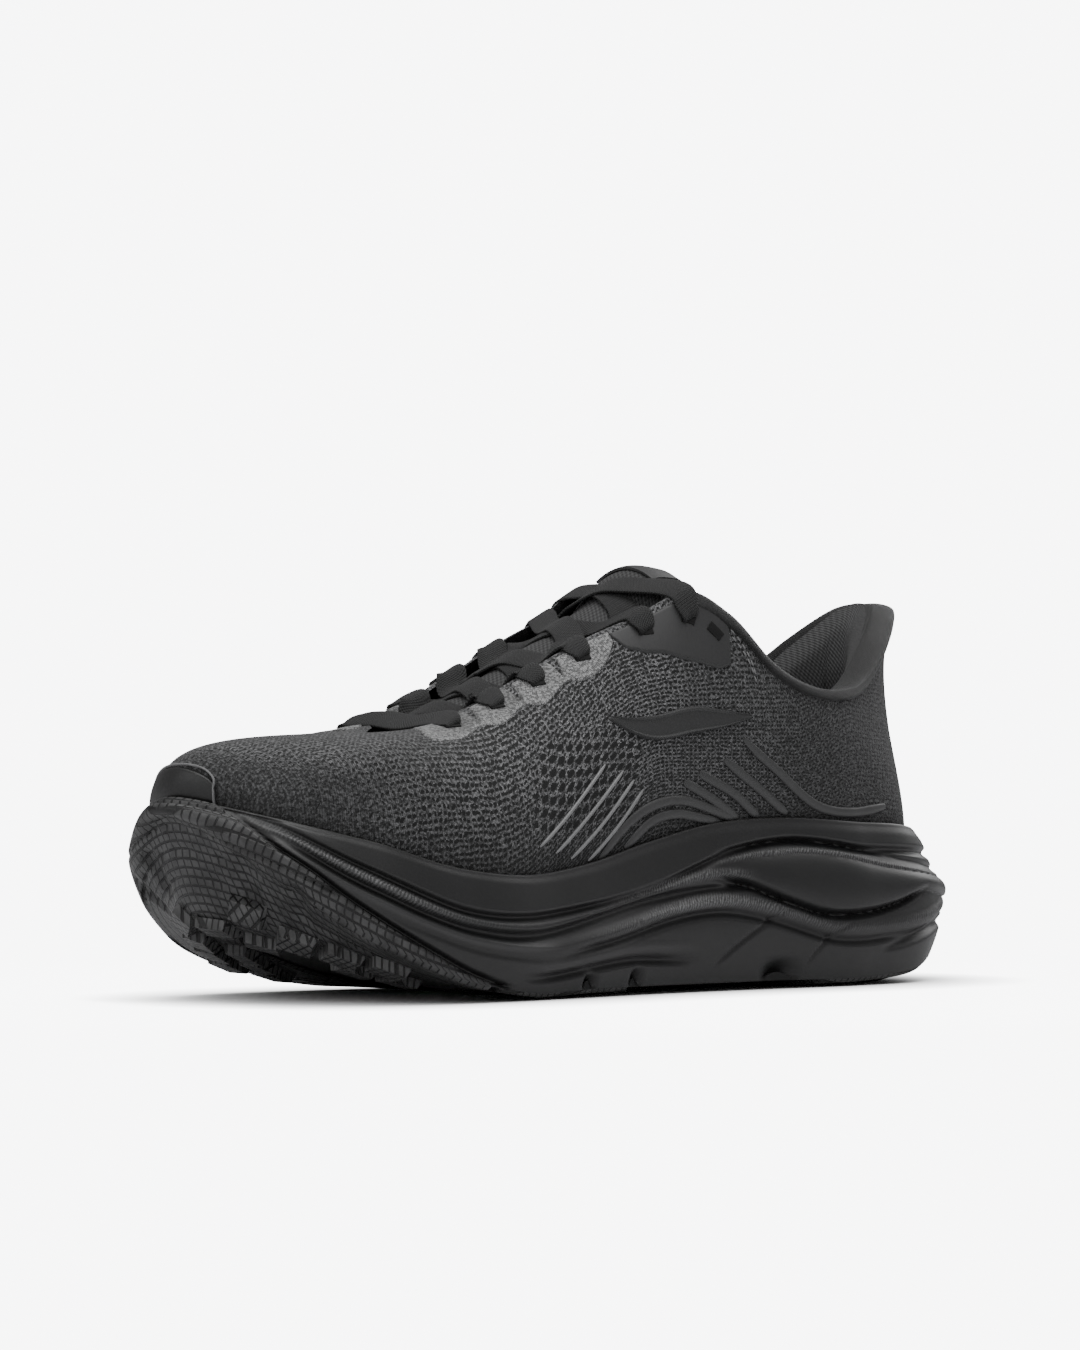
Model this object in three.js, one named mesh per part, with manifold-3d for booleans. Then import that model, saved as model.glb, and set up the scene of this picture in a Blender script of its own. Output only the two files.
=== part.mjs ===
// A left running shoe: a thick sculpted foam midsole on rubber tread pods, and a laced knit upper
// built in layers. Millimetres, +Z up, toe towards -Y, heel towards +Y, lateral side towards +X.
//
// Everything round the foot is laid out on one loop: phi runs 0 at the back of the heel, along the
// lateral side to 0.5 at the toe, and back along the medial side to 1.
import * as THREE from "three";
import { mergeVertices } from "three/addons/utils/BufferGeometryUtils.js";
import Module from "manifold-3d";

const wasm = await Module();
wasm.setup();

// ---------------------------------------------------------------- driving dimensions

const FRAME_CENTRE = [-1.1, 0.75]; // middle of the footprint, where the frame's origin is
const GAP = 0.35; // clearance between pieces that touch on the real shoe
const LOOSE = 0.6; // clearance where curved faces run side by side
const OVERLAY_LIFT = 0.75; // clearance under the overlays on the knit
const LOOP_STEPS = 44; // steps round the foot of the large shells
const SHELL_ROWS = 8; // rows of the knit from inside the midsole's cup to the collar
const TUCK = 0.2; // how far the upper reaches down into the cup, as a share of w

// The sole's widest outline: phi, x, y
const OUTLINE = [
  [0.0, 0, 152], [0.035, 21, 146.5], [0.075, 37, 128], [0.14, 44.5, 92], [0.22, 43.5, 46],
  [0.3, 45, 0], [0.365, 50, -40], [0.415, 52.5, -75], [0.455, 45, -110], [0.48, 28, -136],
  [0.5, -4, -150.5], [0.52, -28, -143], [0.55, -47, -118], [0.59, -55, -82], [0.64, -52, -44],
  [0.7, -42, -4], [0.78, -37, 42], [0.86, -42, 86], [0.925, -37, 126], [0.965, -21, 146],
];

// Midsole wall: phi, rim height, tread edge height, rim inset, tread edge inset, lip width
const WALL = [
  [0.0, 45, 11, 13.5, 6, 3.5], [0.05, 47, 8, 9, 4, 3.5], [0.1, 50, 3, 6, 3, 2.6], [0.14, 51, 1.5, 5.5, 3, 2.4],
  [0.2, 52.5, 1.5, 5.5, 3, 2.2], [0.25, 51, 1.5, 5, 3, 2.2], [0.3, 45.5, 1.5, 4.5, 3, 2.2],
  [0.345, 39.5, 1.5, 4.5, 3, 2.2], [0.39, 36.5, 1.5, 4.5, 3, 2.2], [0.43, 40, 8, 4.8, 2.5, 2.2],
  [0.46, 48, 21, 4.8, 2, 2], [0.48, 53.5, 38, 4.5, 2.5, 1.8], [0.5, 59, 54, 4.5, 3, 1.8],
  [0.52, 53.5, 38, 4.5, 2.5, 1.8], [0.545, 48, 21, 4.8, 2, 2], [0.58, 40, 8, 4.8, 2.5, 2.2],
  [0.62, 37.5, 1.5, 4.5, 3, 2.2], [0.66, 42, 1.5, 4.5, 3, 2.2], [0.7, 48, 1.5, 4.5, 3, 2.2],
  [0.76, 54, 1.5, 5, 3, 2.2], [0.82, 54, 1.5, 5.5, 3, 2.4], [0.88, 51, 2, 5.5, 3, 2.6],
  [0.95, 47, 8, 9, 4, 3.5],
];

// Collar and throat edge of the lateral half: phi, x, y, z, then how far the upper leaves the rim
// and reaches the edge, each as (out, up). The medial half mirrors it.
const TOPLINE_HALF = [
  [0.0, 0, 139, 121, -1, 25, -12, -18], [0.035, 12, 134, 119, -1, 25, -9, -18],
  [0.07, 23, 119, 108, 0, 20, -5, -16], [0.1, 30, 103, 97, 1, 16, -1, -14],
  [0.14, 35.5, 86, 92.5, 2, 14, 2, -12], [0.175, 37, 70, 94, 2, 14, 3, -12],
  [0.21, 35.5, 56, 101, 3, 16, 4, -14], [0.245, 32, 41, 115.5, 4, 20, 6, -18],
  [0.275, 27, 27, 122.5, 4, 24, 8, -18], [0.305, 22, 10, 115, 4, 24, 12, -14],
  [0.335, 19, -8, 108, 4, 24, 15, -11], [0.37, 17, -28, 98.5, 3, 22, 17, -8],
  [0.41, 15.5, -48, 88.5, 3, 20, 20, -5], [0.45, 12, -66, 81, 3.5, 18, 34, -3],
  [0.475, 7, -72, 79.5, 4, 19, 46, -1], [0.5, 0, -74, 79, 4, 19, 54, -1],
];
const TOPLINE = [
  ...TOPLINE_HALF,
  ...TOPLINE_HALF.slice(1, -1)
    .reverse()
    .map(([phi, x, ...rest]) => [1 - phi, -x, ...rest]),
];

// Eyelets of one side, toe to ankle, as (phi, w); the last one stays empty
const EYELETS = [
  [0.438, 0.86], [0.405, 0.87], [0.374, 0.88], [0.343, 0.89], [0.303, 0.89], [0.277, 0.86],
];
const SPARE_EYELET = [0.259, 0.84];
const EYELET_RADIUS = 2.6;

const TREAD_THICKNESS = 2.8;
const TREAD_PROUD = 1.2; // how far the rubber stands out of the foam
const SHELL = 1.4; // knit thickness
const STROBEL = 1.5;
const INSOLE_FOAM = 4.2;
const INSOLE_CLOTH = 0.8;

const LACE_WIDTH = 5.4;
const LACE_THICKNESS = 1.2;
const TAIL_RADIUS = 1.4;
const AGLET_RADIUS = 1.5;

// Tongue: distance along it, y, z of its top face, half width, thickness
const TONGUE = [
  [0.0, -85, 68.5, 15, 3], [0.12, -68, 77.5, 17, 3.2], [0.32, -38, 91.5, 21, 5], [0.5, -12, 105, 22.5, 6],
  [0.68, 8, 115.2, 23.5, 7.5], [0.82, 19, 123, 24.5, 9], [0.9, 27, 130, 25, 10], [1.0, 42, 129.5, 23, 10],
];
const TONGUE_DROP = 0.026; // how fast the tongue falls away sideways, 1/mm

// ---------------------------------------------------------------- curves round the foot

const lerp = (a, b, t) => a + (b - a) * t;
const smooth = (a, b, x) => {
  const t = Math.min(1, Math.max(0, (x - a) / (b - a)));
  return t * t * (3 - 2 * t);
};

// Smooth curve through keyed rows [key, ...values]; with a period it closes on itself
function keyed(rows, x, period = 0) {
  const n = rows.length;
  const row = (i) => {
    if (!period) return rows[Math.min(n - 1, Math.max(0, i))];
    const turn = Math.floor(i / n);
    const [k, ...values] = rows[i - turn * n];
    return [k + turn * period, ...values];
  };
  const at = period ? x - Math.floor(x / period) * period : Math.min(rows[n - 1][0], Math.max(rows[0][0], x));
  let i = 0;
  while (i < n - (period ? 1 : 2) && row(i + 1)[0] <= at) i += 1;
  const [p, a, b, q] = [row(i - 1), row(i), row(i + 1), row(i + 2)];
  const h = b[0] - a[0];
  const t = (at - a[0]) / h;
  const slope = (l, m, r, c) => {
    const hl = m[0] - l[0];
    const hr = r[0] - m[0];
    if (!hl) return (r[c] - m[c]) / hr;
    if (!hr) return (m[c] - l[c]) / hl;
    return (((m[c] - l[c]) / hl) * hr + ((r[c] - m[c]) / hr) * hl) / (hl + hr);
  };
  return a.slice(1).map((_, k) => {
    const c = k + 1;
    const t2 = t * t;
    const t3 = t2 * t;
    return (
      (2 * t3 - 3 * t2 + 1) * a[c] +
      (t3 - 2 * t2 + t) * h * slope(p, a, b, c) +
      (3 * t2 - 2 * t3) * b[c] +
      (t3 - t2) * h * slope(a, b, q, c)
    );
  });
}

function outwards(phi) {
  const [x0, y0] = keyed(OUTLINE, phi - 1e-3, 1);
  const [x1, y1] = keyed(OUTLINE, phi + 1e-3, 1);
  return new THREE.Vector3(y0 - y1, x1 - x0, 0).normalize();
}

// The point at a distance inside the outline, at height z
function inset(phi, distance, z) {
  const [x, y] = keyed(OUTLINE, phi, 1);
  return new THREE.Vector3(x, y, z).addScaledVector(outwards(phi), -distance);
}

function wall(phi) {
  const [rimZ, edgeZ, rimInset, edgeInset, lip] = keyed(WALL, phi, 1);
  return { rimZ, edgeZ, rimInset, edgeInset, biteInset: rimInset + lip };
}

// Height of the ground side along the length: flat, with a toe spring and a heel bevel
const treadZ = (y) => 0.0021 * Math.max(-26 - y, 0) ** 2 + 0.004 * Math.max(y - 112, 0) ** 2;

// Height of the foam footbed along the length
const footbedZ = (y) =>
  keyed([[-150, 50], [-125, 42], [-95, 33], [-60, 29], [-10, 31.5], [60, 36], [150, 37]], y)[0];

// The shells' stations round the foot, twice as close at the toe and the heel as along the sides
const station = (k) => k / LOOP_STEPS - (0.4 / (4 * Math.PI)) * Math.sin((4 * Math.PI * k) / LOOP_STEPS);
const loopPhis = Array.from({ length: LOOP_STEPS }, (_, i) => station(i));

// ---------------------------------------------------------------- surfaces

// Ground side of the sole: r runs 0 at the middle to 1 at the tread edge
function treadPoint(phi, r) {
  const { edgeZ, edgeInset } = wall(phi);
  const edge = inset(phi, edgeInset, edgeZ);
  const spine = new THREE.Vector3(-2, edge.y * 0.72, 0);
  const p = spine.lerp(edge, r);
  p.z = treadZ(p.y) + (edgeZ - treadZ(edge.y)) * smooth(0.62, 1.02, r) ** 1.2;
  return p;
}

// Outside of the upper: w runs 0 at the bite line to 1 at the collar and throat edge, and below 0
// down inside the midsole's cup
function upperSkin(phi, w) {
  const { rimZ, biteInset } = wall(phi);
  const [x, y, z, out1, up1, out2, up2] = keyed(TOPLINE, phi, 1);
  const bite = inset(phi, biteInset, rimZ - 0.5);
  if (w <= 0) {
    const foot = inset(phi, biteInset + 2.5, 0);
    foot.z = footbedZ(foot.y) + 1;
    return bite.lerp(foot, -w / TUCK);
  }
  const n = outwards(phi);
  const top = new THREE.Vector3(x, y, z);
  const leave = bite.clone().addScaledVector(n, out1).setZ(bite.z + up1);
  const arrive = top.clone().addScaledVector(n, out2).setZ(z + up2);
  return new THREE.CubicBezierCurve3(bite, leave, arrive, top).getPoint(w);
}

// Moves a surface's point inwards along its normal
function sunk(surface, u, v, depth) {
  const e = 2e-3;
  const vLow = v > 0.5 ? v - e : v;
  const du = surface(u + e, v).sub(surface(u - e, v));
  const dv = surface(u, vLow + e).sub(surface(u, vLow));
  return surface(u, v).addScaledVector(du.cross(dv).normalize(), depth);
}
const upper = (phi, w, depth) => sunk(upperSkin, phi, w, depth);
const tread = (phi, r, depth) => sunk(treadPoint, phi, r, depth);

// How deep the lining lies behind the skin, and how thick the padding in front of it is
const fromBack = (phi) => Math.abs(phi - Math.round(phi));
const liningDepth = (phi) =>
  3.6 - 1.4 * smooth(0.22, 0.264, fromBack(phi)) + 1.7 * smooth(0.41, 0.44, fromBack(phi));
const padding = (phi, w) =>
  0.6 +
  6 * (1 - smooth(0.17, 0.25, fromBack(phi))) * smooth(0.3, 0.7, w) * (1 - 0.75 * smooth(0.82, 1, w));

function tonguePoint(s, q, depth) {
  const [y, z, half, thick] = keyed(TONGUE, s);
  const x = q * half;
  const [y1, z1] = keyed(TONGUE, Math.min(1, s + 0.02));
  const [y0, z0] = keyed(TONGUE, Math.max(0, s - 0.02));
  const along = new THREE.Vector3(0, y1 - y0, z1 - z0).normalize();
  const across = new THREE.Vector3(1, 0, -2 * TONGUE_DROP * x).normalize();
  const down = along.clone().cross(across).normalize();
  if (down.z > 0) down.negate();
  return new THREE.Vector3(x, y, z - TONGUE_DROP * x * x).addScaledVector(down, depth * thick);
}

// ---------------------------------------------------------------- solids from grids

function geometry(points, faces) {
  const g = new THREE.BufferGeometry();
  g.setAttribute("position", new THREE.Float32BufferAttribute(points.flatMap((p) => [p.x, p.y, p.z]), 3));
  g.setIndex(faces.flat());
  return g;
}

// Turns a closed mesh's faces outwards
function facingOut(g) {
  const p = g.getAttribute("position");
  const i = g.index.array;
  const [a, b, c] = [new THREE.Vector3(), new THREE.Vector3(), new THREE.Vector3()];
  let volume = 0;
  for (let k = 0; k < i.length; k += 3) {
    a.fromBufferAttribute(p, i[k]);
    b.fromBufferAttribute(p, i[k + 1]);
    c.fromBufferAttribute(p, i[k + 2]);
    volume += a.dot(b.cross(c));
  }
  if (volume < 0) for (let k = 0; k < i.length; k += 3) [i[k + 1], i[k + 2]] = [i[k + 2], i[k + 1]];
  return g;
}

// A stack of closed rings, zipped shut across the first and the last one. Its upper half is split
// the other way, so that floors stacked on each other have like facets.
function ringSolid(rings) {
  const n = rings[0].length;
  const faces = [];
  for (let r = 0; r + 1 < rings.length; r += 1)
    for (let i = 0; i < n; i += 1) {
      const j = (i + 1) % n;
      const [a, b, c, d] = [r * n + i, r * n + j, (r + 1) * n + j, (r + 1) * n + i];
      if (r > rings.length / 2 - 1) faces.push([a, b, d], [b, c, d]);
      else faces.push([a, b, c], [a, c, d]);
    }
  const zip = (base, turn) => {
    for (let i = 0; i < n / 2; i += 1) {
      const [a, b, c, d] = [i, i + 1, n - i - 1, (n - i) % n].map((k) => base + k);
      const made = [];
      if (i + 1 < n / 2) made.push([a, b, c]);
      if (i > 0) made.push([a, c, d]);
      made.forEach((f) => faces.push(turn ? f.reverse() : f));
    }
  };
  zip(0, true);
  zip((rings.length - 1) * n, false);
  return facingOut(geometry(rings.flat(), faces));
}

// A sheet of material between two faces: at(u, v, side) gives its points, side 0 outside and 1 inside.
// A closed sheet runs right round in u.
function sheetSolid(nu, nv, at, closed = false) {
  const columns = closed ? nu : nu + 1;
  const points = [];
  for (const side of [0, 1])
    for (let j = 0; j <= nv; j += 1)
      for (let i = 0; i < columns; i += 1) points.push(at(i / nu, j / nv, side));
  const id = (i, j, side) => side * columns * (nv + 1) + j * columns + (closed ? i % nu : i);
  const faces = [];
  const quad = (a, b, c, d) => faces.push([a, b, c], [a, c, d]);
  for (let j = 0; j < nv; j += 1)
    for (let i = 0; i < nu; i += 1) {
      quad(id(i, j, 0), id(i + 1, j, 0), id(i + 1, j + 1, 0), id(i, j + 1, 0));
      quad(id(i, j, 1), id(i, j + 1, 1), id(i + 1, j + 1, 1), id(i + 1, j, 1));
    }
  for (let i = 0; i < nu; i += 1) {
    quad(id(i, 0, 0), id(i, 0, 1), id(i + 1, 0, 1), id(i + 1, 0, 0));
    quad(id(i, nv, 0), id(i + 1, nv, 0), id(i + 1, nv, 1), id(i, nv, 1));
  }
  if (!closed)
    for (let j = 0; j < nv; j += 1) {
      quad(id(0, j, 0), id(0, j + 1, 0), id(0, j + 1, 1), id(0, j, 1));
      quad(id(nu, j, 0), id(nu, j, 1), id(nu, j + 1, 1), id(nu, j + 1, 0));
    }
  return facingOut(geometry(points, faces));
}

// A flat strap along a path, its width lying along the reference direction
function strap(stations, reference) {
  const points = [];
  const faces = [];
  const side = [[-1, 0.5], [0, 1], [1, 0.5], [1, -0.5], [0, -1], [-1, -0.5]];
  const n = side.length;
  stations.forEach(({ at, width, thick }, k) => {
    const next = stations[Math.min(k + 1, stations.length - 1)].at;
    const last = stations[Math.max(k - 1, 0)].at;
    const tangent = next.clone().sub(last).normalize();
    const across = reference.clone().addScaledVector(tangent, -reference.dot(tangent)).normalize();
    const up = tangent.clone().cross(across);
    for (const [a, b] of side)
      points.push(at.clone().addScaledVector(across, (a * width) / 2).addScaledVector(up, (b * thick) / 2));
  });
  for (let k = 0; k + 1 < stations.length; k += 1)
    for (let i = 0; i < n; i += 1) {
      const j = (i + 1) % n;
      faces.push([k * n + i, k * n + j, (k + 1) * n + j], [k * n + i, (k + 1) * n + j, (k + 1) * n + i]);
    }
  const end = (stations.length - 1) * n;
  for (let i = 1; i + 1 < n; i += 1) faces.push([0, i + 1, i], [end, end + i, end + i + 1]);
  return facingOut(geometry(points, faces));
}

// ---------------------------------------------------------------- joining and cutting

function solid(g) {
  const bare = g.index ? g.clone() : mergeVertices(g.clone());
  bare.deleteAttribute("normal");
  bare.deleteAttribute("uv");
  const merged = mergeVertices(bare, 1e-4);
  return new wasm.Manifold(
    new wasm.Mesh({
      numProp: 3,
      vertProperties: new Float32Array(merged.getAttribute("position").array),
      triVerts: new Uint32Array(merged.index.array),
    }),
  );
}

function fromSolid(s) {
  const m = s.getMesh();
  const g = new THREE.BufferGeometry();
  g.setAttribute("position", new THREE.BufferAttribute(new Float32Array(m.vertProperties), 3));
  g.setIndex(new THREE.BufferAttribute(new Uint32Array(m.triVerts), 1));
  return g;
}

const cut = (g, tools) => fromSolid(tools.reduce((s, tool) => s.subtract(solid(tool)), solid(g)));

// ---------------------------------------------------------------- sole

const ring = (point) => loopPhis.map(point);

// Distance inside the outline at a share of the wall's height: none where the foam is widest
const WIDEST = 0.36;
function wallInset(phi, share) {
  const { rimInset, edgeInset } = wall(phi);
  if (share < WIDEST) return edgeInset * (1 - share / WIDEST) ** 1.6;
  return rimInset * ((share - WIDEST) / (1 - WIDEST)) ** 1.7;
}

// A point over the footbed, at a distance inside the bite line and a height above the foam
function bedPoint(phi, distance, raised) {
  const p = inset(phi, wall(phi).biteInset + distance, 0);
  return p.setZ(footbedZ(p.y) + raised);
}
const bedRing = (distance, raised) => ring((phi) => bedPoint(phi, distance, raised));
const bedMiddle = (raised) =>
  ring((phi) => {
    const edge = bedPoint(phi, 4, 0);
    const p = new THREE.Vector3(-2, edge.y * 0.72, 0).lerp(edge, 0.4);
    return p.setZ(footbedZ(p.y) + raised);
  });

function midsole() {
  const raise = (p) => p.setZ(p.z + TREAD_PROUD);
  const rings = [0.3, 0.6, 0.8, 0.93, 1].map((r) => ring((phi) => raise(treadPoint(phi, r))));
  for (const share of [0.14, WIDEST, 0.6, 0.8, 0.94])
    rings.push(
      ring((phi) => {
        const { edgeZ, rimZ } = wall(phi);
        return inset(phi, wallInset(phi, share), lerp(edgeZ + TREAD_PROUD, rimZ, share));
      }),
    );
  rings.push(ring((phi) => inset(phi, wall(phi).rimInset + 0.8, wall(phi).rimZ)));
  rings.push(ring((phi) => inset(phi, wall(phi).biteInset - LOOSE, wall(phi).rimZ - 0.3)));
  rings.push(ring((phi) => bedPoint(phi, 2.5 - LOOSE, 0.6)), bedRing(4, 0), bedMiddle(0));
  return ringSolid(rings);
}

// Rubber pods: name, phi range, r range
const PODS = [
  ["outsole_toe", 0.412, 0.588, 0.34, 0.93],
  ["outsole_forefoot_lateral", 0.318, 0.407, 0.42, 0.985],
  ["outsole_forefoot_medial", 0.593, 0.69, 0.42, 0.985],
  ["outsole_heel_lateral", 0.012, 0.175, 0.4, 0.985],
  ["outsole_heel_medial", 0.825, 0.988, 0.4, 0.985],
];

// One pod, or with a margin the pocket it sits in
function pod([, phi0, phi1, r0, r1], margin = 0) {
  const loop = 720; // mm round the sole, to turn a margin into phi
  const half = 48; // mm from spine to edge, to turn it into r
  const nu = Math.round((phi1 - phi0) * LOOP_STEPS * 2);
  return sheetSolid(nu, 4, (u, v, side) => {
    const phi = lerp(phi0 - margin / loop, phi1 + margin / loop, u);
    const r = lerp(r0 - margin / half, r1 + margin / half, v);
    const depth = side ? TREAD_THICKNESS + margin : margin ? -3 : 0;
    return tread(phi, r, depth);
  });
}

const BOARD_EDGE = 4.6; // mm from the bite line to the board
const strobelBoard = () =>
  ringSolid([
    bedMiddle(LOOSE), bedRing(BOARD_EDGE, LOOSE),
    bedRing(BOARD_EDGE, LOOSE + STROBEL), bedMiddle(LOOSE + STROBEL),
  ]);

// A footbed layer from one height to another above the foam, dished up at its edge
const DISH = 2.2;
const footbedLayer = (low, high) =>
  ringSolid([
    bedMiddle(low), bedRing(12.6, low + 0.3), bedRing(8.6, low + DISH),
    bedRing(8.6, high + DISH), bedRing(12.6, high + 0.3), bedMiddle(high),
  ]);

// ---------------------------------------------------------------- upper

const aroundEyelet = (phi, w, radius, reach) => {
  const centre = upper(phi, w, 0);
  const axis = upper(phi, w, 5).sub(upper(phi, w, -5)).normalize();
  const g = new THREE.CylinderGeometry(radius, radius, reach, 6);
  g.applyQuaternion(new THREE.Quaternion().setFromUnitVectors(new THREE.Vector3(0, 1, 0), axis));
  g.translate(centre.x, centre.y, centre.z);
  return g;
};
const bothSides = (rows) => rows.flatMap(([phi, w]) => [[phi, w], [1 - phi, w]]);
const eyeletHoles = (radius) =>
  bothSides([...EYELETS, SPARE_EYELET]).map(([phi, w]) => aroundEyelet(phi, w, radius, 12));

const knitShell = () =>
  cut(
    sheetSolid(
      LOOP_STEPS, SHELL_ROWS,
      (u, v, side) => upper(station(u * LOOP_STEPS), lerp(-TUCK, 1, v), side * SHELL),
      true,
    ),
    eyeletHoles(EYELET_RADIUS),
  );

// Values from a to b: both ends, and the knit's own grid lines between them, so that the facets of
// pieces lying on each other run alike
function gridLines(a, b, line, slack) {
  const made = [a];
  for (let k = -LOOP_STEPS; k <= LOOP_STEPS; k += 1)
    if (line(k) > a + slack && line(k) < b - slack) made.push(line(k));
  return [...made, b];
}
const phiLines = (a, b) => gridLines(a, b, station, 0.004);
const wLines = (a, b) => gridLines(a, b, (k) => (k * (1 + TUCK)) / SHELL_ROWS - TUCK, 0.03);
const pick = (list, t) => list[Math.round(t * (list.length - 1))];

// A layer inside the upper between two depths
function layer(phi0, phi1, w0, w1, front, back) {
  const phis = phiLines(phi0, phi1);
  const rows = wLines(w0, w1);
  return sheetSolid(phis.length - 1, rows.length - 1, (u, v, side) => {
    const [phi, w] = [pick(phis, u), pick(rows, v)];
    return upper(phi, w, (side ? back : front)(phi, w));
  });
}

const BEHIND_SHELL = SHELL + LOOSE;
const heelCounter = () =>
  layer(station(-6), station(6), 0.04, 0.5, () => BEHIND_SHELL, () => BEHIND_SHELL + 1.2);
const toePuff = () =>
  layer(station(19), station(25), 0.04, 0.3, () => BEHIND_SHELL, () => BEHIND_SHELL + 1.1);
const collarFoam = () =>
  layer(-0.215, 0.215, 0.34, 0.985, liningDepth, (phi, w) => liningDepth(phi) + padding(phi, w));
const collarLining = () =>
  layer(
    -0.264, 0.264, -0.13, 0.985,
    (phi, w) => liningDepth(phi) + padding(phi, w) + LOOSE,
    (phi, w) => liningDepth(phi) + padding(phi, w) + LOOSE + 0.8,
  );
const vampLining = () => layer(0.268, 0.732, -0.13, 0.74, liningDepth, (phi) => liningDepth(phi) + 0.7);

// An overlay bonded to the outside between two phi lines: rows(phi, u) gives its lowest and highest w
function overlay(phi0, phi1, medial, thickness, nv, rows) {
  const phis = phiLines(phi0, phi1);
  return sheetSolid(phis.length - 1, nv, (u, v, side) => {
    const phi = pick(phis, u);
    const [low, high] = rows((phi - phi0) / (phi1 - phi0));
    const w = lerp(low, high, v);
    return upper(medial ? 1 - phi : phi, w, -OVERLAY_LIFT - (side ? 0 : thickness));
  });
}

const arch = (u, sharpness = 1) => Math.sin(Math.PI * lerp(0.06, 0.94, u)) ** sharpness;
const punched = (g, rows) => cut(g, rows.map(([phi, w]) => aroundEyelet(phi, w, EYELET_RADIUS, 12)));

const toeBumper = () => overlay(station(21), station(24), false, 1.4, 3, (u) => [0.04, 0.08 + 0.14 * arch(u)]);
const heelStrip = () => overlay(-0.045, 0.045, false, 0.8, 8, () => [0.05, 0.96]);
const eyestayPlate = (medial) =>
  punched(
    overlay(0.25, 0.319, medial, 0.8, 3, (u) => [0.76 - 0.06 * u, 0.955]),
    bothSides([...EYELETS.slice(4), SPARE_EYELET]),
  );
const eyestayBand = (medial) =>
  punched(
    overlay(0.325, 0.462, medial, 0.7, 3, (u) => [0.76 - 0.05 * arch(u), 0.965]),
    bothSides(EYELETS.slice(0, 4)),
  );

// The saddle: a plain leaf on the quarter below the ankle
const saddle = (medial) =>
  overlay(0.228, 0.335, medial, 1.0, 3, (u) => {
    const middle = 0.44 + 0.12 * (2 * u - 1) ** 2;
    const half = 0.055 * arch(u, 0.8);
    return [middle - half, middle + half];
  });

// Support film of one side: an arch over the midsole's rim
const supportFilm = (medial) => overlay(0.13, 0.345, medial, 0.7, 3, (u) => [0.03, 0.06 + 0.26 * arch(u)]);

// ---------------------------------------------------------------- tongue

// A tongue layer between two shares of its thickness
const TONGUE_STEPS = 14;
const tongueLayer = (front, back, first, last, half) =>
  sheetSolid(last - first, 6, (u, v, side) =>
    tonguePoint(lerp(first, last, u) / TONGUE_STEPS, lerp(-half, half, v), side ? back : front),
  );

const tongueLabel = () =>
  sheetSolid(4, 4, (u, v, side) => tonguePoint(lerp(0.9, 0.975, u), lerp(-0.5, 0.5, v), side ? -0.035 : -0.12));

// ---------------------------------------------------------------- lace

const THROAT_DIRECTION = new THREE.Vector3(0, 0.88, 0.47);
const OVER = 1.6; // lace centre above the surface it lies on

// From the middle of the throat at eyelet row i out to that eyelet and down through it
function toEyelet(row, medial, lift) {
  const [phi, w] = EYELETS[row];
  const p = medial ? 1 - phi : phi;
  const rim = upper(p, 1, -OVER - 1.8 - lift * 0.3);
  rim.x *= 0.93;
  return [
    { at: rim, width: LACE_WIDTH },
    { at: upper(p, lerp(w, 1, 0.45), -OVER - 1.4), width: LACE_WIDTH * 0.9 },
    { at: upper(p, w, -OVER - 0.4), width: 3 },
    { at: upper(p, w, 1), width: 2.6 },
    { at: upper(p, lerp(w, 1, 0.12), 3.6), width: 3 },
  ];
}

// From under an eyelet out past the throat edge and up over it
function fromEyelet(row, medial) {
  const [phi, w] = EYELETS[row];
  const p = medial ? 1 - phi : phi;
  const out = upper(p, 1, 3.4);
  out.x *= 0.80;
  return [
    { at: upper(p, lerp(w, 1, 0.6), 3.9), width: LACE_WIDTH * 0.8 },
    { at: out, width: LACE_WIDTH * 0.9 },
  ];
}

// Across the throat between two rows, over the tongue, from one side to the other
function crossing(row, fromMedial, over) {
  const [, y0] = keyed(TOPLINE, EYELETS[row][0], 1);
  const [, y1] = keyed(TOPLINE, EYELETS[row + 1][0], 1);
  const reach = 11 - row * 0.2;
  return [0.3, 0.5, 0.7].map((t) => {
    const x = (t - 0.5) * 5 * reach * (fromMedial ? 1 : -1);
    const y = lerp(y0, y1, t);
    return {
      at: new THREE.Vector3(x, y, tongueTopZ(y) - TONGUE_DROP * x * x + (over ? 4.1 : 2.0)),
      width: LACE_WIDTH,
    };
  });
}

function tongueTopZ(y) {
  let [low, high] = [0, 1];
  for (let i = 0; i < 30; i += 1) {
    const mid = (low + high) / 2;
    if (keyed(TONGUE, mid)[0] < y) low = mid;
    else high = mid;
  }
  return keyed(TONGUE, low)[1];
}

// One half of the lace: down its bar end, then up through rows of alternate sides
function laceHalf(startMedial) {
  const stations = [...toEyelet(0, startMedial, 0)];
  for (let row = 0; row + 1 < EYELETS.length; row += 1) {
    const medial = row % 2 ? !startMedial : startMedial;
    stations.push(...fromEyelet(row, medial));
    stations.push(...crossing(row, medial, startMedial));
    stations.push(...toEyelet(row + 1, !medial, startMedial ? 1 : 0));
  }
  return stations;
}

function lace() {
  const [, barY] = keyed(TOPLINE, EYELETS[0][0], 1);
  const bar = { at: new THREE.Vector3(0, barY - 1, tongueTopZ(barY) + 1.3), width: LACE_WIDTH };
  const stations = [...laceHalf(true).reverse(), bar, ...laceHalf(false)];
  const curve = new THREE.CatmullRomCurve3(stations.map((s) => s.at), false, "centripetal");
  const made = stations.map(({ width }, i) => ({
    at: curve.getPoint(i / (stations.length - 1)),
    width,
    thick: LACE_THICKNESS,
  }));
  return strap(made, THROAT_DIRECTION);
}

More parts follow.
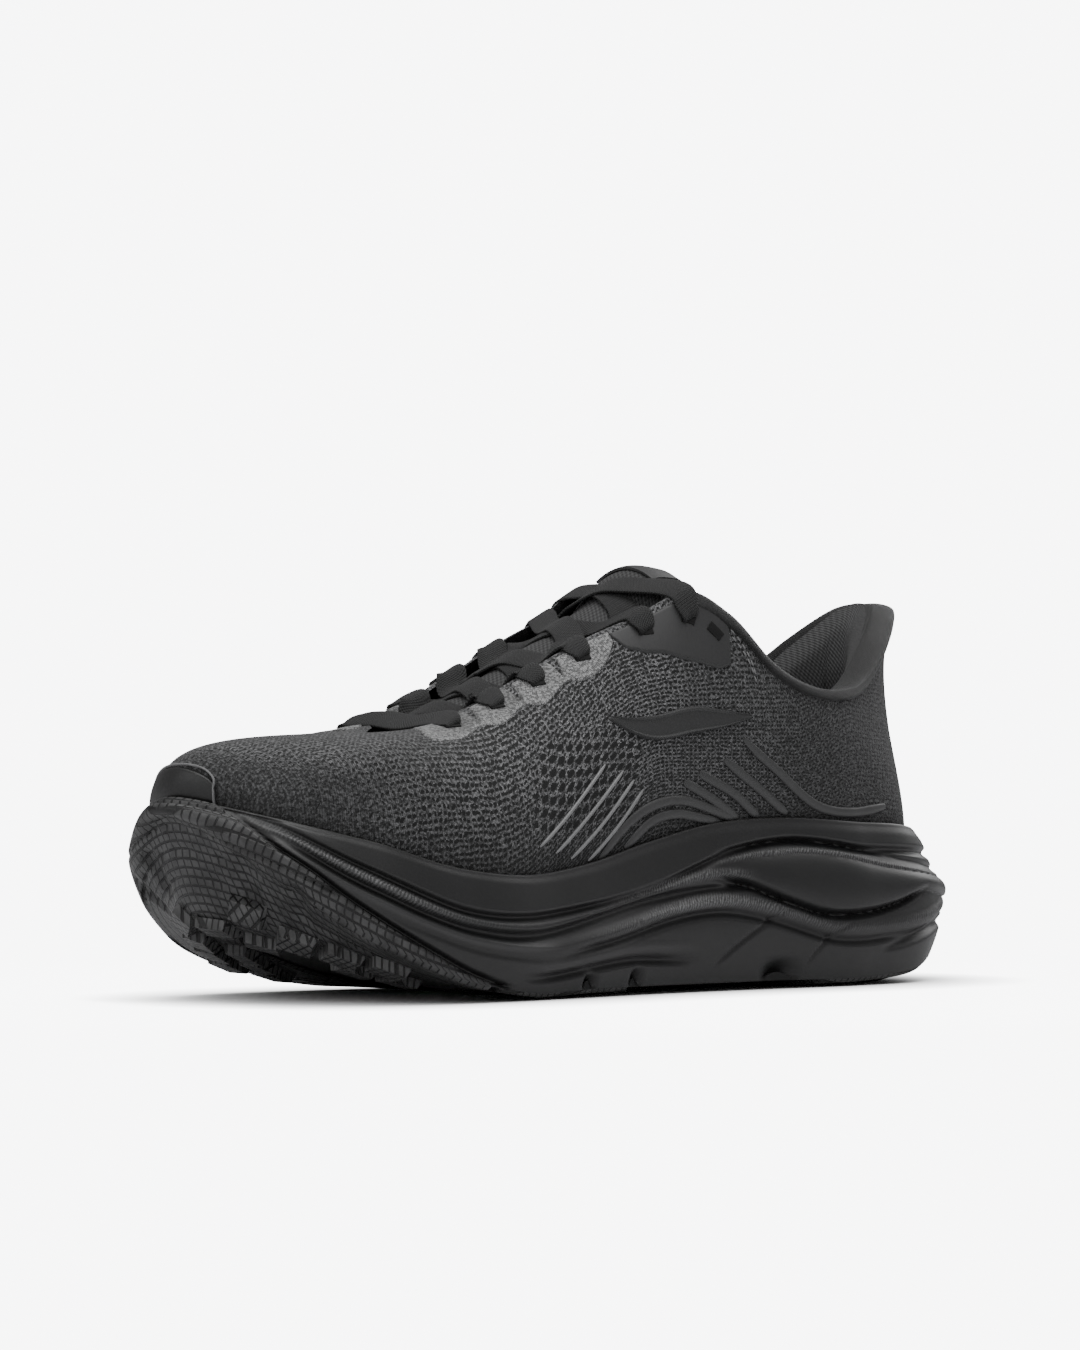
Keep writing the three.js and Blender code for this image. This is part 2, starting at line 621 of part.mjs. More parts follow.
// Where the loose ends run: down the lining, round on the insole at the heel, back along its middle
const TAIL_ROUTES = {
  lateral: [
    [26, 39, 103], [26.5, 45, 94], [26.8, 52, 82], [26.8, 60, 69], [26.5, 70, 58], [25.5, 82, 50.5], [23, 95, 47.5],
    [18, 104, 47], [12, 105, 46.8], [8.5, 97, 46.7], [7.5, 84, 46.7], [7.5, 68, 46.3], [7.5, 50, 45.5],
    [8, 30, 44.5],
  ],
  medial: [
    [-25, 39, 103], [-24, 45, 94], [-22.5, 52, 82], [-20.8, 60, 69], [-20.3, 70, 58], [-20.5, 82, 50.5],
    [-20, 93, 47.6], [-16.5, 101, 47], [-11.5, 102, 46.8], [-8.5, 94, 46.7], [-8, 80, 46.7], [-8, 64, 46.1],
    [-8, 46, 45.3], [-8, 26, 44.3],
  ],
};

function tail(side) {
  const points = TAIL_ROUTES[side].map((p) => new THREE.Vector3(...p));
  const section = new THREE.Shape().absarc(0, 0, TAIL_RADIUS, 0, 2 * Math.PI);
  const g = new THREE.ExtrudeGeometry(section, {
    curveSegments: 4,
    steps: 30,
    extrudePath: new THREE.CatmullRomCurve3(points),
  });
  return facingOut(indexed(g));
}

function indexed(g) {
  g.deleteAttribute("normal");
  g.deleteAttribute("uv");
  return mergeVertices(g, 1e-4);
}

const AGLET_LENGTH = 20;
function aglet(side) {
  const [x, y, z] = TAIL_ROUTES[side].at(-1);
  const g = new THREE.CylinderGeometry(AGLET_RADIUS, AGLET_RADIUS, AGLET_LENGTH, 8);
  return g.translate(x, y - AGLET_LENGTH / 2 - GAP, z);
}

// ---------------------------------------------------------------- materials and assembly

const finish = (color, roughness) => new THREE.MeshStandardMaterial({ color, roughness, metalness: 0 });
const FOAM = finish(0x232324, 0.5);
const RUBBER = finish(0x18181a, 0.6);
const KNIT = finish(0x2c2c2e, 0.9);
const FILM = finish(0x242426, 0.4);
const EMBROIDERY = finish(0x77777a, 0.85);
const TEXTILE = finish(0x1a1a1c, 0.9);
const LACE = finish(0x161618, 0.85);
const BOARD = finish(0x3a3a3a, 0.9);
const PLASTIC = finish(0x101012, 0.4);

const shoe = new THREE.Group();
shoe.position.set(-FRAME_CENTRE[0], -FRAME_CENTRE[1], 0);

function add(name, g, material, place = [0, 0, 0]) {
  const mesh = new THREE.Mesh(g, material);
  mesh.name = name;
  mesh.position.set(...place);
  shoe.add(mesh);
}

add("midsole", cut(midsole(), PODS.map((row) => pod(row, GAP))), FOAM);
for (const row of PODS) add(row[0], pod(row), RUBBER);
add("strobel_board", strobelBoard(), BOARD);
const boardTop = LOOSE + STROBEL + GAP;
add("sockliner_foam", footbedLayer(boardTop, boardTop + INSOLE_FOAM), FOAM);
const clothLow = boardTop + INSOLE_FOAM + GAP;
add("sockliner_cloth", footbedLayer(clothLow, clothLow + INSOLE_CLOTH), TEXTILE);
add("knit_upper", knitShell(), KNIT);
add("heel_counter", heelCounter(), PLASTIC);
add("toe_puff", toePuff(), BOARD);
add("collar_foam", collarFoam(), FOAM);
add("collar_lining", collarLining(), TEXTILE);
add("vamp_lining", vampLining(), TEXTILE);
add("toe_bumper", toeBumper(), RUBBER);
add("heel_strip", heelStrip(), FILM);
for (const [side, medial] of [["lateral", false], ["medial", true]]) {
  add(`eyestay_plate_${side}`, eyestayPlate(medial), FILM);
  add(`eyestay_band_${side}`, eyestayBand(medial), EMBROIDERY);
  add(`saddle_${side}`, saddle(medial), FILM);
  add(`support_film_${side}`, supportFilm(medial), FILM);
  add(`lace_tail_${side}`, tail(side), LACE);
  add(`aglet_${side}`, aglet(side), PLASTIC);
}
add("tongue_face", tongueLayer(0, 0.14, 0, TONGUE_STEPS, 1), KNIT);
add("tongue_foam", tongueLayer(0.2, 0.81, 4, TONGUE_STEPS - 1, 0.94), FOAM);
add("tongue_lining", tongueLayer(0.88, 1, 0, TONGUE_STEPS, 1), TEXTILE);
add("tongue_label", tongueLabel(), FILM);
add("lace", lace(), LACE);

export default shoe;
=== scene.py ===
"""A left running shoe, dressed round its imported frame.

The CAD frame gives the bodies, the joint and the space each piece fills. The classes below build the
visible shoe: a sculpted foam midsole on rubber tread pods, a laced knit upper with its overlays, a
padded collar and tongue, and the footbed inside.
"""

from __future__ import annotations

import logging
import math
from dataclasses import dataclass, field
from enum import Enum
from typing import Callable, Iterable, Sequence, Union

import bpy
import numpy as np
from mathutils import Matrix, Vector


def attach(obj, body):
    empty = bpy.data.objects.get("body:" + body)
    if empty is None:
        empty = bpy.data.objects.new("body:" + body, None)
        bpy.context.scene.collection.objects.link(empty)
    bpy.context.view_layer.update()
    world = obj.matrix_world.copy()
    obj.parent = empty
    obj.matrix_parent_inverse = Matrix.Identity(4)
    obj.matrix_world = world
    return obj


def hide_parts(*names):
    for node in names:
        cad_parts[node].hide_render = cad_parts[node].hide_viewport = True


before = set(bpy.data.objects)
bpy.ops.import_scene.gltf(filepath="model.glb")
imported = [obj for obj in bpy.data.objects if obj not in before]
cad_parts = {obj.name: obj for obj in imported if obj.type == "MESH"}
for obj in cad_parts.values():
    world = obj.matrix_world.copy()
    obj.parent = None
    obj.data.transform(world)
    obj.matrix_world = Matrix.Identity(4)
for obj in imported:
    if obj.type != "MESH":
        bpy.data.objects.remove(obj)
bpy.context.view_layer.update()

LOG = logging.getLogger("running_shoe")
Array = np.ndarray
Surface = Callable[[Array, Array], Array]
Number = Union[float, "Wire"]
UP = np.array([0.0, 0.0, 1.0])


def smooth(low: float, high: float, x: Array) -> Array:
    """Smooth step from 0 at low to 1 at high."""
    t = np.clip((np.asarray(x, float) - low) / (high - low), 0, 1)
    return t * t * (3 - 2 * t)


def bump(x: Array, width: float) -> Array:
    """A smooth bell round 0 that falls to 0 at plus and minus width."""
    return 1 - smooth(0, width, np.abs(x))


def folded(phi: Array) -> Array:
    """The lateral phi level with a place on either side."""
    return np.abs(phi - np.round(phi))


class Side(Enum):
    """The two sides of a left shoe."""

    LATERAL = "lateral"
    MEDIAL = "medial"

    def turn(self, phi: Array) -> Array:
        """A lateral phi on this side."""
        return phi if self is Side.LATERAL else 1 - phi

    @property
    def sign(self) -> int:
        """The side's direction along X."""
        return 1 if self is Side.LATERAL else -1


class Last:
    """The curves and skins that every layer of the shoe is laid out on.

    Round the foot, phi runs from 0 at the back of the heel along the lateral side to 0.5 at the toe
    and back along the medial side to 1. Lengths are in millimetres; `place` turns them into the frame.
    """

    CENTRE = np.array([-1.1, 0.75, 0.0])
    OUTLINE = np.array([
        [0.0, 0, 152], [0.035, 21, 146.5], [0.075, 37, 128], [0.14, 44.5, 92], [0.22, 43.5, 46],
        [0.3, 45, 0], [0.365, 50, -40], [0.415, 52.5, -75], [0.455, 45, -110], [0.48, 28, -136],
        [0.5, -4, -150.5], [0.52, -28, -143], [0.55, -47, -118], [0.59, -55, -82], [0.64, -52, -44],
        [0.7, -42, -4], [0.78, -37, 42], [0.86, -42, 86], [0.925, -37, 126], [0.965, -21, 146],
    ])
    # phi, rim height, tread edge height, rim inset, tread edge inset, lip width
    WALL = np.array([
        [0.0, 45, 11, 13.5, 6, 3.5], [0.05, 47, 8, 9, 4, 3.5], [0.1, 50, 3, 6, 3, 2.6],
        [0.14, 51, 1.5, 5.5, 3, 2.4], [0.2, 52.5, 1.5, 5.5, 3, 2.2], [0.25, 51, 1.5, 5, 3, 2.2],
        [0.3, 45.5, 1.5, 4.5, 3, 2.2], [0.345, 39.5, 1.5, 4.5, 3, 2.2], [0.39, 36.5, 1.5, 4.5, 3, 2.2],
        [0.43, 40, 8, 4.8, 2.5, 2.2], [0.46, 48, 21, 4.8, 2, 2], [0.48, 53.5, 38, 4.5, 2.5, 1.8],
        [0.5, 59, 54, 4.5, 3, 1.8], [0.52, 53.5, 38, 4.5, 2.5, 1.8], [0.545, 48, 21, 4.8, 2, 2],
        [0.58, 40, 8, 4.8, 2.5, 2.2], [0.62, 37.5, 1.5, 4.5, 3, 2.2], [0.66, 42, 1.5, 4.5, 3, 2.2],
        [0.7, 48, 1.5, 4.5, 3, 2.2], [0.76, 54, 1.5, 5, 3, 2.2], [0.82, 54, 1.5, 5.5, 3, 2.4],
        [0.88, 51, 2, 5.5, 3, 2.6], [0.95, 47, 8, 9, 4, 3.5],
    ])
    # phi, x, y, z of the collar and throat edge, then how the upper leaves the rim and arrives (out, up)
    TOPLINE_HALF = np.array([
        [0.0, 0, 139, 121, -1, 25, -12, -18], [0.035, 12, 134, 119, -1, 25, -9, -18],
        [0.07, 23, 119, 108, 0, 20, -5, -16], [0.1, 30, 103, 97, 1, 16, -1, -14],
        [0.14, 35.5, 86, 92.5, 2, 14, 2, -12], [0.175, 37, 70, 94, 2, 14, 3, -12],
        [0.21, 35.5, 56, 101, 3, 16, 4, -14], [0.245, 32, 41, 115.5, 4, 20, 6, -18],
        [0.275, 27, 27, 122.5, 4, 24, 8, -18], [0.305, 22, 10, 115, 4, 24, 12, -14],
        [0.335, 19, -8, 108, 4, 24, 15, -11], [0.37, 17, -28, 98.5, 3, 22, 17, -8],
        [0.41, 15.5, -48, 88.5, 3, 20, 20, -5], [0.45, 12, -66, 81, 3.5, 18, 34, -3],
        [0.475, 7, -72, 79.5, 4, 19, 46, -1], [0.5, 0, -74, 79, 4, 19, 54, -1],
    ])
    BED = np.array([[-150, 50], [-125, 42], [-95, 33], [-60, 29], [-10, 31.5], [60, 36], [150, 37]])
    # distance along the tongue, y, z of its face, half width, thickness
    TONGUE = np.array([
        [0.0, -85, 68.5, 15, 3], [0.12, -68, 77.5, 17, 3.2], [0.32, -38, 91.5, 21, 5],
        [0.5, -12, 105, 22.5, 6], [0.68, 8, 115.2, 23.5, 7.5], [0.82, 19, 123, 24.5, 9],
        [0.9, 27, 130, 25, 10], [1.0, 42, 129.5, 23, 10],
    ])
    # curvature across the tongue, the wall's fullest share, the upper's depth in the cup (w) and the
    # foam's rise over the tread
    TONGUE_DROP = 0.026
    WIDEST = 0.36
    TUCK = 0.2
    STEP = 1.2

    def __init__(self) -> None:
        """Mirrors the topline's medial half."""
        medial = self.TOPLINE_HALF[1:-1][::-1].copy()
        medial[:, 0] = 1 - medial[:, 0]
        medial[:, 1] *= -1
        self.topline = np.vstack([self.TOPLINE_HALF, medial])

    @staticmethod
    def keyed(rows: Array, at: Array, period: float = 0.0) -> Array:
        """Smooth curve through keyed rows.

        Args:
            rows: one row per key, its place first.
            at: where to read the curve, any shape.
            period: the span after which the curve closes on itself, or 0.

        Returns:
            The values, with one more axis than `at`.
        """
        at = np.asarray(at, float)
        if period:
            ahead, behind = rows[:2].copy(), rows[-2:].copy()
            ahead[:, 0] += period
            behind[:, 0] -= period
            keys = np.vstack([behind, rows, ahead])
            at = np.mod(at, period)
        else:
            first, last = rows[:1].copy(), rows[-1:].copy()
            keys = np.vstack([first, rows, last])
            at = np.clip(at, rows[0, 0], rows[-1, 0])
        place, value = keys[:, 0], keys[:, 1:]
        step = np.diff(place)
        rise = np.diff(value, axis=0) / np.where(step == 0, 1, step)[:, None]
        before, after = step[:-1, None], step[1:, None]
        both = before + after
        slope = (rise[:-1] * after + rise[1:] * before) / np.where(both == 0, 1, both)
        slope = np.where(before == 0, rise[1:], np.where(after == 0, rise[:-1], slope))
        i = np.clip(np.searchsorted(place, at, side="right") - 1, 1, len(place) - 3)
        width = step[i][..., None]
        t = ((at - place[i]) / step[i])[..., None]
        m0, m1 = slope[i - 1], slope[i]
        return ((2 * t**3 - 3 * t**2 + 1) * value[i] + (t**3 - 2 * t**2 + t) * width * m0
                + (3 * t**2 - 2 * t**3) * value[i + 1] + (t**3 - t**2) * width * m1)

    def outward(self, phi: Array) -> Array:
        """Level unit vector out of the sole's side at phi."""
        step = self.keyed(self.OUTLINE, phi + 1e-3, 1) - self.keyed(self.OUTLINE, phi - 1e-3, 1)
        out = np.stack([-step[..., 1], step[..., 0], 0 * step[..., 0]], -1)
        return out / np.linalg.norm(out, axis=-1, keepdims=True)

    def inset(self, phi: Array, distance: Array, z: Array) -> Array:
        """The point a distance inside the sole's outline, at height z."""
        flat = self.keyed(self.OUTLINE, phi, 1)
        point = np.concatenate([flat, 0 * flat[..., :1]], -1)
        point = point - self.outward(phi) * np.asarray(distance)[..., None]
        point[..., 2] = z
        return point

    def wall(self, phi: Array) -> tuple[Array, ...]:
        """Rim height, tread edge height, rim inset, tread edge inset and bite inset at phi."""
        rim_z, edge_z, rim_in, edge_in, lip = np.moveaxis(self.keyed(self.WALL, phi, 1), -1, 0)
        return rim_z, edge_z, rim_in, edge_in, rim_in + lip

    def wall_point(self, phi: Array, share: Array) -> Array:
        """A point on the plain side wall, share 0 at the tread edge and 1 at the rim."""
        rim_z, edge_z, rim_in, edge_in, _ = self.wall(phi)
        low = edge_in * np.clip(1 - share / self.WIDEST, 0, 1) ** 1.6
        high = rim_in * np.clip((share - self.WIDEST) / (1 - self.WIDEST), 0, 1) ** 1.7
        return self.inset(phi, low + high, edge_z + self.STEP + (rim_z - edge_z - self.STEP) * share)

    @staticmethod
    def tread_z(y: Array) -> Array:
        """Height of the ground side: flat, with a toe spring and a heel bevel."""
        return 0.0021 * np.maximum(-26 - y, 0) ** 2 + 0.004 * np.maximum(y - 112, 0) ** 2

    @staticmethod
    def spine(edge: Array) -> Array:
        """Points of the sole's middle line, one for each point of its edge, at height 0."""
        return edge * [0, 0.72, 0] - [2, 0, 0]

    def tread(self, phi: Array, r: Array) -> Array:
        """Ground side of the sole, r 0 at the middle to 1 at the tread edge."""
        phi, r = np.broadcast_arrays(phi, r)
        _, edge_z, _, edge_in, _ = self.wall(phi)
        edge = self.inset(phi, edge_in, edge_z)
        r3 = r[..., None]
        point = self.spine(edge) * (1 - r3) + edge * r3
        rise = edge_z - self.tread_z(edge[..., 1])
        point[..., 2] = self.tread_z(point[..., 1]) + rise * smooth(0.62, 1.02, r) ** 1.2
        return point

    def bed(self, phi: Array, distance: Array, raised: Array) -> Array:
        """A point over the footbed, a distance inside the bite line and a height above the foam."""
        point = self.inset(phi, self.wall(phi)[4] + distance, 0)
        point[..., 2] = self.keyed(self.BED, point[..., 1])[..., 0] + raised
        return point

    def skin(self, phi: Array, w: Array) -> Array:
        """Outside of the upper: w 0 at the bite line, 1 at the collar or throat edge, below 0 in the cup."""
        rim_z, _, _, _, bite_in = self.wall(phi)
        x, y, z, out1, up1, out2, up2 = np.moveaxis(self.keyed(self.topline, phi, 1), -1, 0)
        bite = self.inset(phi, bite_in, rim_z - 0.5)
        out = self.outward(phi)
        top = np.stack([x, y, z], -1)
        leave = bite + out * out1[..., None] + up1[..., None] * UP
        arrive = top + out * out2[..., None] + up2[..., None] * UP
        t = np.clip(w, 0, 1)[..., None]
        curve = ((1 - t) ** 3 * bite + 3 * t * (1 - t) ** 2 * leave
                 + 3 * t**2 * (1 - t) * arrive + t**3 * top)
        foot = self.bed(phi, 2.5, 1.0)
        down = np.clip(-w / self.TUCK, 0, None)[..., None]
        return np.where(w[..., None] < 0, bite + (foot - bite) * down, curve)

    def sunk(self, surface: Surface, u: Array, v: Array, depth: Array) -> Array:
        """Points of a surface moved inwards along its normal."""
        e = 2e-3
        low = np.where(v > 0.5, v - e, v)
        du = surface(u + e, v) - surface(u - e, v)
        dv = surface(u, low + e) - surface(u, low)
        normal = np.cross(du, dv)
        normal /= np.linalg.norm(normal, axis=-1, keepdims=True)
        return surface(u, v) + normal * np.asarray(depth)[..., None]

    def upper(self, phi: Array, w: Array, depth: Array) -> Array:
        """A point a depth behind the outside of the upper; a number stands for a whole array."""
        return self.sunk(self.skin, *np.broadcast_arrays(phi, w, depth))

    def lining_depth(self, phi: Array) -> Array:
        """How deep the lining lies behind the knit."""
        back = folded(phi)
        return 3.6 - 1.4 * smooth(0.22, 0.264, back) + 1.7 * smooth(0.41, 0.44, back)

    def padding(self, phi: Array, w: Array) -> Array:
        """Thickness of the collar's foam."""
        back = folded(phi)
        rise = (1 - smooth(0.17, 0.25, back)) * smooth(0.3, 0.7, w)
        return 0.6 + 6 * rise * (1 - 0.75 * smooth(0.82, 1, w))

    def tongue(self, s: Array, q: Array, depth: Array) -> Array:
        """A point of the tongue: s along it, q -1 to 1 across it, depth as a share of its thickness."""
        y, z, half, thick = np.moveaxis(self.keyed(self.TONGUE, s), -1, 0)
        x = q * half
        e = 0.02
        ahead = self.keyed(self.TONGUE, np.minimum(1, s + e))
        behind = self.keyed(self.TONGUE, np.maximum(0, s - e))
        along = np.stack([0 * x, ahead[..., 0] - behind[..., 0], ahead[..., 1] - behind[..., 1]], -1)
        across = np.stack([1 + 0 * x, 0 * x, -2 * self.TONGUE_DROP * x], -1)
        down = np.cross(across, along)
        down /= -np.linalg.norm(down, axis=-1, keepdims=True)
        top = np.stack([x, y, z - self.TONGUE_DROP * x**2], -1)
        return top + down * (depth * thick)[..., None]

    def place(self, points: Array) -> Array:
        """Millimetres on the last to metres in the frame."""
        return (np.asarray(points) - self.CENTRE) / 1000


LAST = Last()


# ---------------------------------------------------------------- meshes


def piece(name: str, points: Array, faces: Sequence[Sequence[int]], finish: "Finish",
          uvs: Array | None = None, masks: dict[str, Array] | None = None,
          sharp: float = 50.0) -> bpy.types.Object:
    """Makes a mesh object at the origin, smooth shaded, its faces outwards.

    Args:
        name: the piece's name.
        points: its points on the last, in millimetres.
        faces: indices of the points of each face.
        finish: what it is covered with.
        uvs: one (u, v) per face corner, in metres.
        masks: point attributes that the finish reads.
        sharp: edges turning more than this many degrees stay sharp.

    Returns:
        The object.
    """
    at = LAST.place(points)
    mesh = bpy.data.meshes.new(name)
    mesh.from_pydata(at.tolist(), [], faces)
    if uvs is not None:
        mesh.uv_layers.new(name="flow").data.foreach_set("uv", np.asarray(uvs, float).ravel())
    for key, values in (masks or {}).items():
        store = mesh.attributes.new(key, "FLOAT", "POINT")
        store.data.foreach_set("value", np.asarray(values, float).ravel())
    mesh.update()
    if signed_volume(mesh) < 0:
        mesh.flip_normals()
    mesh.shade_smooth()
    mesh.set_sharp_from_angle(angle=math.radians(sharp))
    obj = bpy.data.objects.new(name, mesh)
    bpy.context.scene.collection.objects.link(obj)
    obj.data.materials.append(finish.material())
    return obj


def signed_volume(mesh: bpy.types.Mesh) -> float:
    """Volume inside a mesh, negative where it is inside out."""
    mesh.calc_loop_triangles()
    corners = np.empty(len(mesh.loop_triangles) * 3, int)
    mesh.loop_triangles.foreach_get("vertices", corners)
    at = np.empty(len(mesh.vertices) * 3)
    mesh.vertices.foreach_get("co", at)
    a, b, c = np.moveaxis(at.reshape(-1, 3)[corners.reshape(-1, 3)], 1, 0)
    return float(np.einsum("ij,ij->i", a, np.cross(b, c)).sum())


def grid_faces(rows: int, cols: int, closed: bool, base: int = 0) -> Array:
    """Quads of a grid of points, wrapped round in its columns when closed."""
    across = cols if closed else cols - 1
    j, i = np.meshgrid(np.arange(rows - 1), np.arange(across), indexing="ij")
    n = (i + 1) % cols
    quads = np.stack([j * cols + i, j * cols + n, (j + 1) * cols + n, (j + 1) * cols + i], -1)
    return quads.reshape(-1, 4) + base


def shell(name: str, front: Array, back: Array, finish: "Finish", closed: bool = False,
          uv: Array | None = None, masks: dict[str, Array] | None = None,
          sharp: float = 50.0) -> bpy.types.Object:
    """A closed sheet between a front and a back grid of points.

    Args:
        name: the piece's name.
        front: outer points, rows by columns by 3.
        back: inner points; a closed shell may have fewer rows.
        finish: what it is covered with.
        closed: whether the columns run right round.
        uv: flow coordinates of the front, rows by columns (one more when closed) by 2, in millimetres.
        masks: values over the front's points, for the finish.
        sharp: edges turning more than this many degrees stay sharp.

    Returns:
        The object.
    """
    rows, cols = front.shape[:2]
    deep = back.shape[0]
    base = rows * cols
    faces = [grid_faces(rows, cols, closed), grid_faces(deep, cols, closed, base)[:, ::-1]]
    i = np.arange(cols if closed else cols - 1)
    n = (i + 1) % cols
    last = (rows - 1) * cols
    last_back = base + (deep - 1) * cols
    faces.append(np.stack([n, i, base + i, base + n], -1))
    faces.append(np.stack([last + i, last + n, last_back + n, last_back + i], -1))
    if not closed:
        j = np.arange(rows - 1) * cols
        faces.append(np.stack([j, j + cols, base + j + cols, base + j], -1))
        j = j + cols - 1
        faces.append(np.stack([j + cols, j, base + j, base + j + cols], -1))
    quads = np.vstack(faces)
    points = np.vstack([front.reshape(-1, 3), back.reshape(-1, 3)])
    uvs = None if uv is None else shell_uvs(uv, rows, cols, closed, quads, base, back.reshape(-1, 3))
    if masks:
        masks = {key: np.concatenate([np.broadcast_to(value, (rows, cols)).ravel(), np.zeros(deep * cols)])
                 for key, value in masks.items()}
    return piece(name, points, quads.tolist(), finish, uvs, masks, sharp)


def shell_uvs(uv: Array, rows: int, cols: int, closed: bool, quads: Array, base: int, back: Array) -> Array:
    """Flow coordinates per face corner: the front's own, and the side view of the points elsewhere."""
    width = uv.shape[1]
    corner = quads.copy()
    front = corner < base
    j, i = np.divmod(np.where(front, corner, 0), cols)
    if closed:
        wraps = front & (i == 0) & (np.max(np.where(front, i, 0), axis=1, keepdims=True) == cols - 1)
        i = np.where(wraps, cols, i)
    flat = uv.reshape(-1, 2)[np.clip(j * width + np.minimum(i, width - 1), 0, rows * width - 1)]
    aside = back[np.clip(corner - base, 0, len(back) - 1)][..., 1:]
    return np.where(front[..., None], flat, aside).reshape(-1, 2) / 1000


def mesh_grid(u: Array, v: Array) -> tuple[Array, Array]:
    """Rows of v by columns of u."""
    across, down = np.meshgrid(u, v)
    return across, down


def patch(name: str, side: Side, phis: Array, low: Array | float, high: Array | float, rows: int,
          finish: "Finish", thickness: float, edge: float = 1.2,
          lift: Callable[[Array], Array] | None = None) -> bpy.types.Object:
    """An overlay fused to the outside of the knit, its border rolled down.

    Args:
        name: the piece's name.
        side: the side it is on.
        phis: its columns, as lateral phi.
        low: lowest w, a number or one for each column.
        high: highest w, likewise.
        rows: rows of points.
        finish: what it is made of.
        thickness: how far it stands out, in millimetres.
        edge: width of the rolled border, in millimetres.
        lift: extra height from the row share.

    Returns:
        The object.
    """
    share = np.linspace(0, 1, rows)
    phi, t = mesh_grid(phis, share)
    w = low + (high - low) * t
    turned = side.turn(phi)
    plain = LAST.skin(turned, w)
    across = arc_length(plain, axis=0)
    along = arc_length(plain, axis=1)
    inside = np.minimum.reduce([across, across[-1:] - across, along, along[:, -1:] - along])
    round_off = np.sqrt(np.clip(1 - (1 - np.clip(inside / edge, 0, 1)) ** 2, 0, 1))
    height = thickness * round_off
    if lift is not None:
        height = height + lift(t) * round_off
    front = LAST.upper(turned, w, 0.15 - height)
    back = LAST.upper(turned, w, 0.6)
    return shell(name, front, back, finish, uv=np.stack([along, across], -1))


def arc_length(points: Array, axis: int) -> Array:
    """Distance from the start along an axis of a grid of points."""
    steps = np.linalg.norm(np.diff(points, axis=axis), axis=-1)
    start = np.zeros_like(np.take(steps, [0], axis=axis))
    return np.cumsum(np.concatenate([start, steps], axis=axis), axis=axis)


def curve_through(points: Array, per_step: int) -> Array:
    """A smooth line through points, with a number of steps from each to the next."""
    points = np.asarray(points, float)
    gaps = np.linalg.norm(np.diff(points, axis=0), axis=1) ** 0.5
    rows = np.column_stack([np.concatenate([[0], np.cumsum(gaps)]), points])
    places = [np.linspace(a, b, per_step, endpoint=False) for a, b in zip(rows[:-1, 0], rows[1:, 0])]
    return LAST.keyed(rows, np.concatenate([*places, rows[-1:, 0]]))


# ---------------------------------------------------------------- shaders


class Wire:
    """A socket in a shader, with arithmetic that adds its own Math nodes."""

    def __init__(self, paint: "Paint", socket: bpy.types.NodeSocket) -> None:
        """Keeps the shader and the socket."""
        self.paint = paint
        self.socket = socket

    def math(self, operation: str, *others: Number) -> "Wire":
        """A Math node of this value and up to two more."""
        return self.paint.node("ShaderNodeMath", {"operation": operation},
                               {k: value for k, value in enumerate((self, *others))})

    def __add__(self, other: Number) -> "Wire":
        """Sum."""
        return self.math("ADD", other)

    __radd__ = __add__

    def __mul__(self, other: Number) -> "Wire":
        """Product."""
        return self.math("MULTIPLY", other)

    __rmul__ = __mul__

    def __sub__(self, other: Number) -> "Wire":
        """Difference."""
        return self.math("SUBTRACT", other)

    def __rsub__(self, other: Number) -> "Wire":
        """Difference from a number."""
        return self * -1 + other

    def __truediv__(self, other: Number) -> "Wire":
        """Quotient."""
        return self.math("DIVIDE", other)

    def wave(self) -> "Wire":
        """Triangle from 0 at whole numbers to 1 half way between them."""
        return 1 - ((self.math("FRACT") - 0.5).math("ABSOLUTE") * 2)

    def step(self, low: float, high: float) -> "Wire":
        """Smooth step from 0 at low to 1 at high."""
        if low > high:
            return 1 - self.step(high, low)
        return self.paint.node("ShaderNodeMapRange", {"interpolation_type": "SMOOTHSTEP"},
                               {"Value": self, "From Min": low, "From Max": high})

    def clamp(self) -> "Wire":
        """The value kept between 0 and 1."""
        return self.math("MINIMUM", 1.0).math("MAXIMUM", 0.0)

    def axis(self, name: str) -> "Wire":
        """One coordinate of a vector."""
        return self.paint.node("ShaderNodeSeparateXYZ", {}, {0: self}, name)


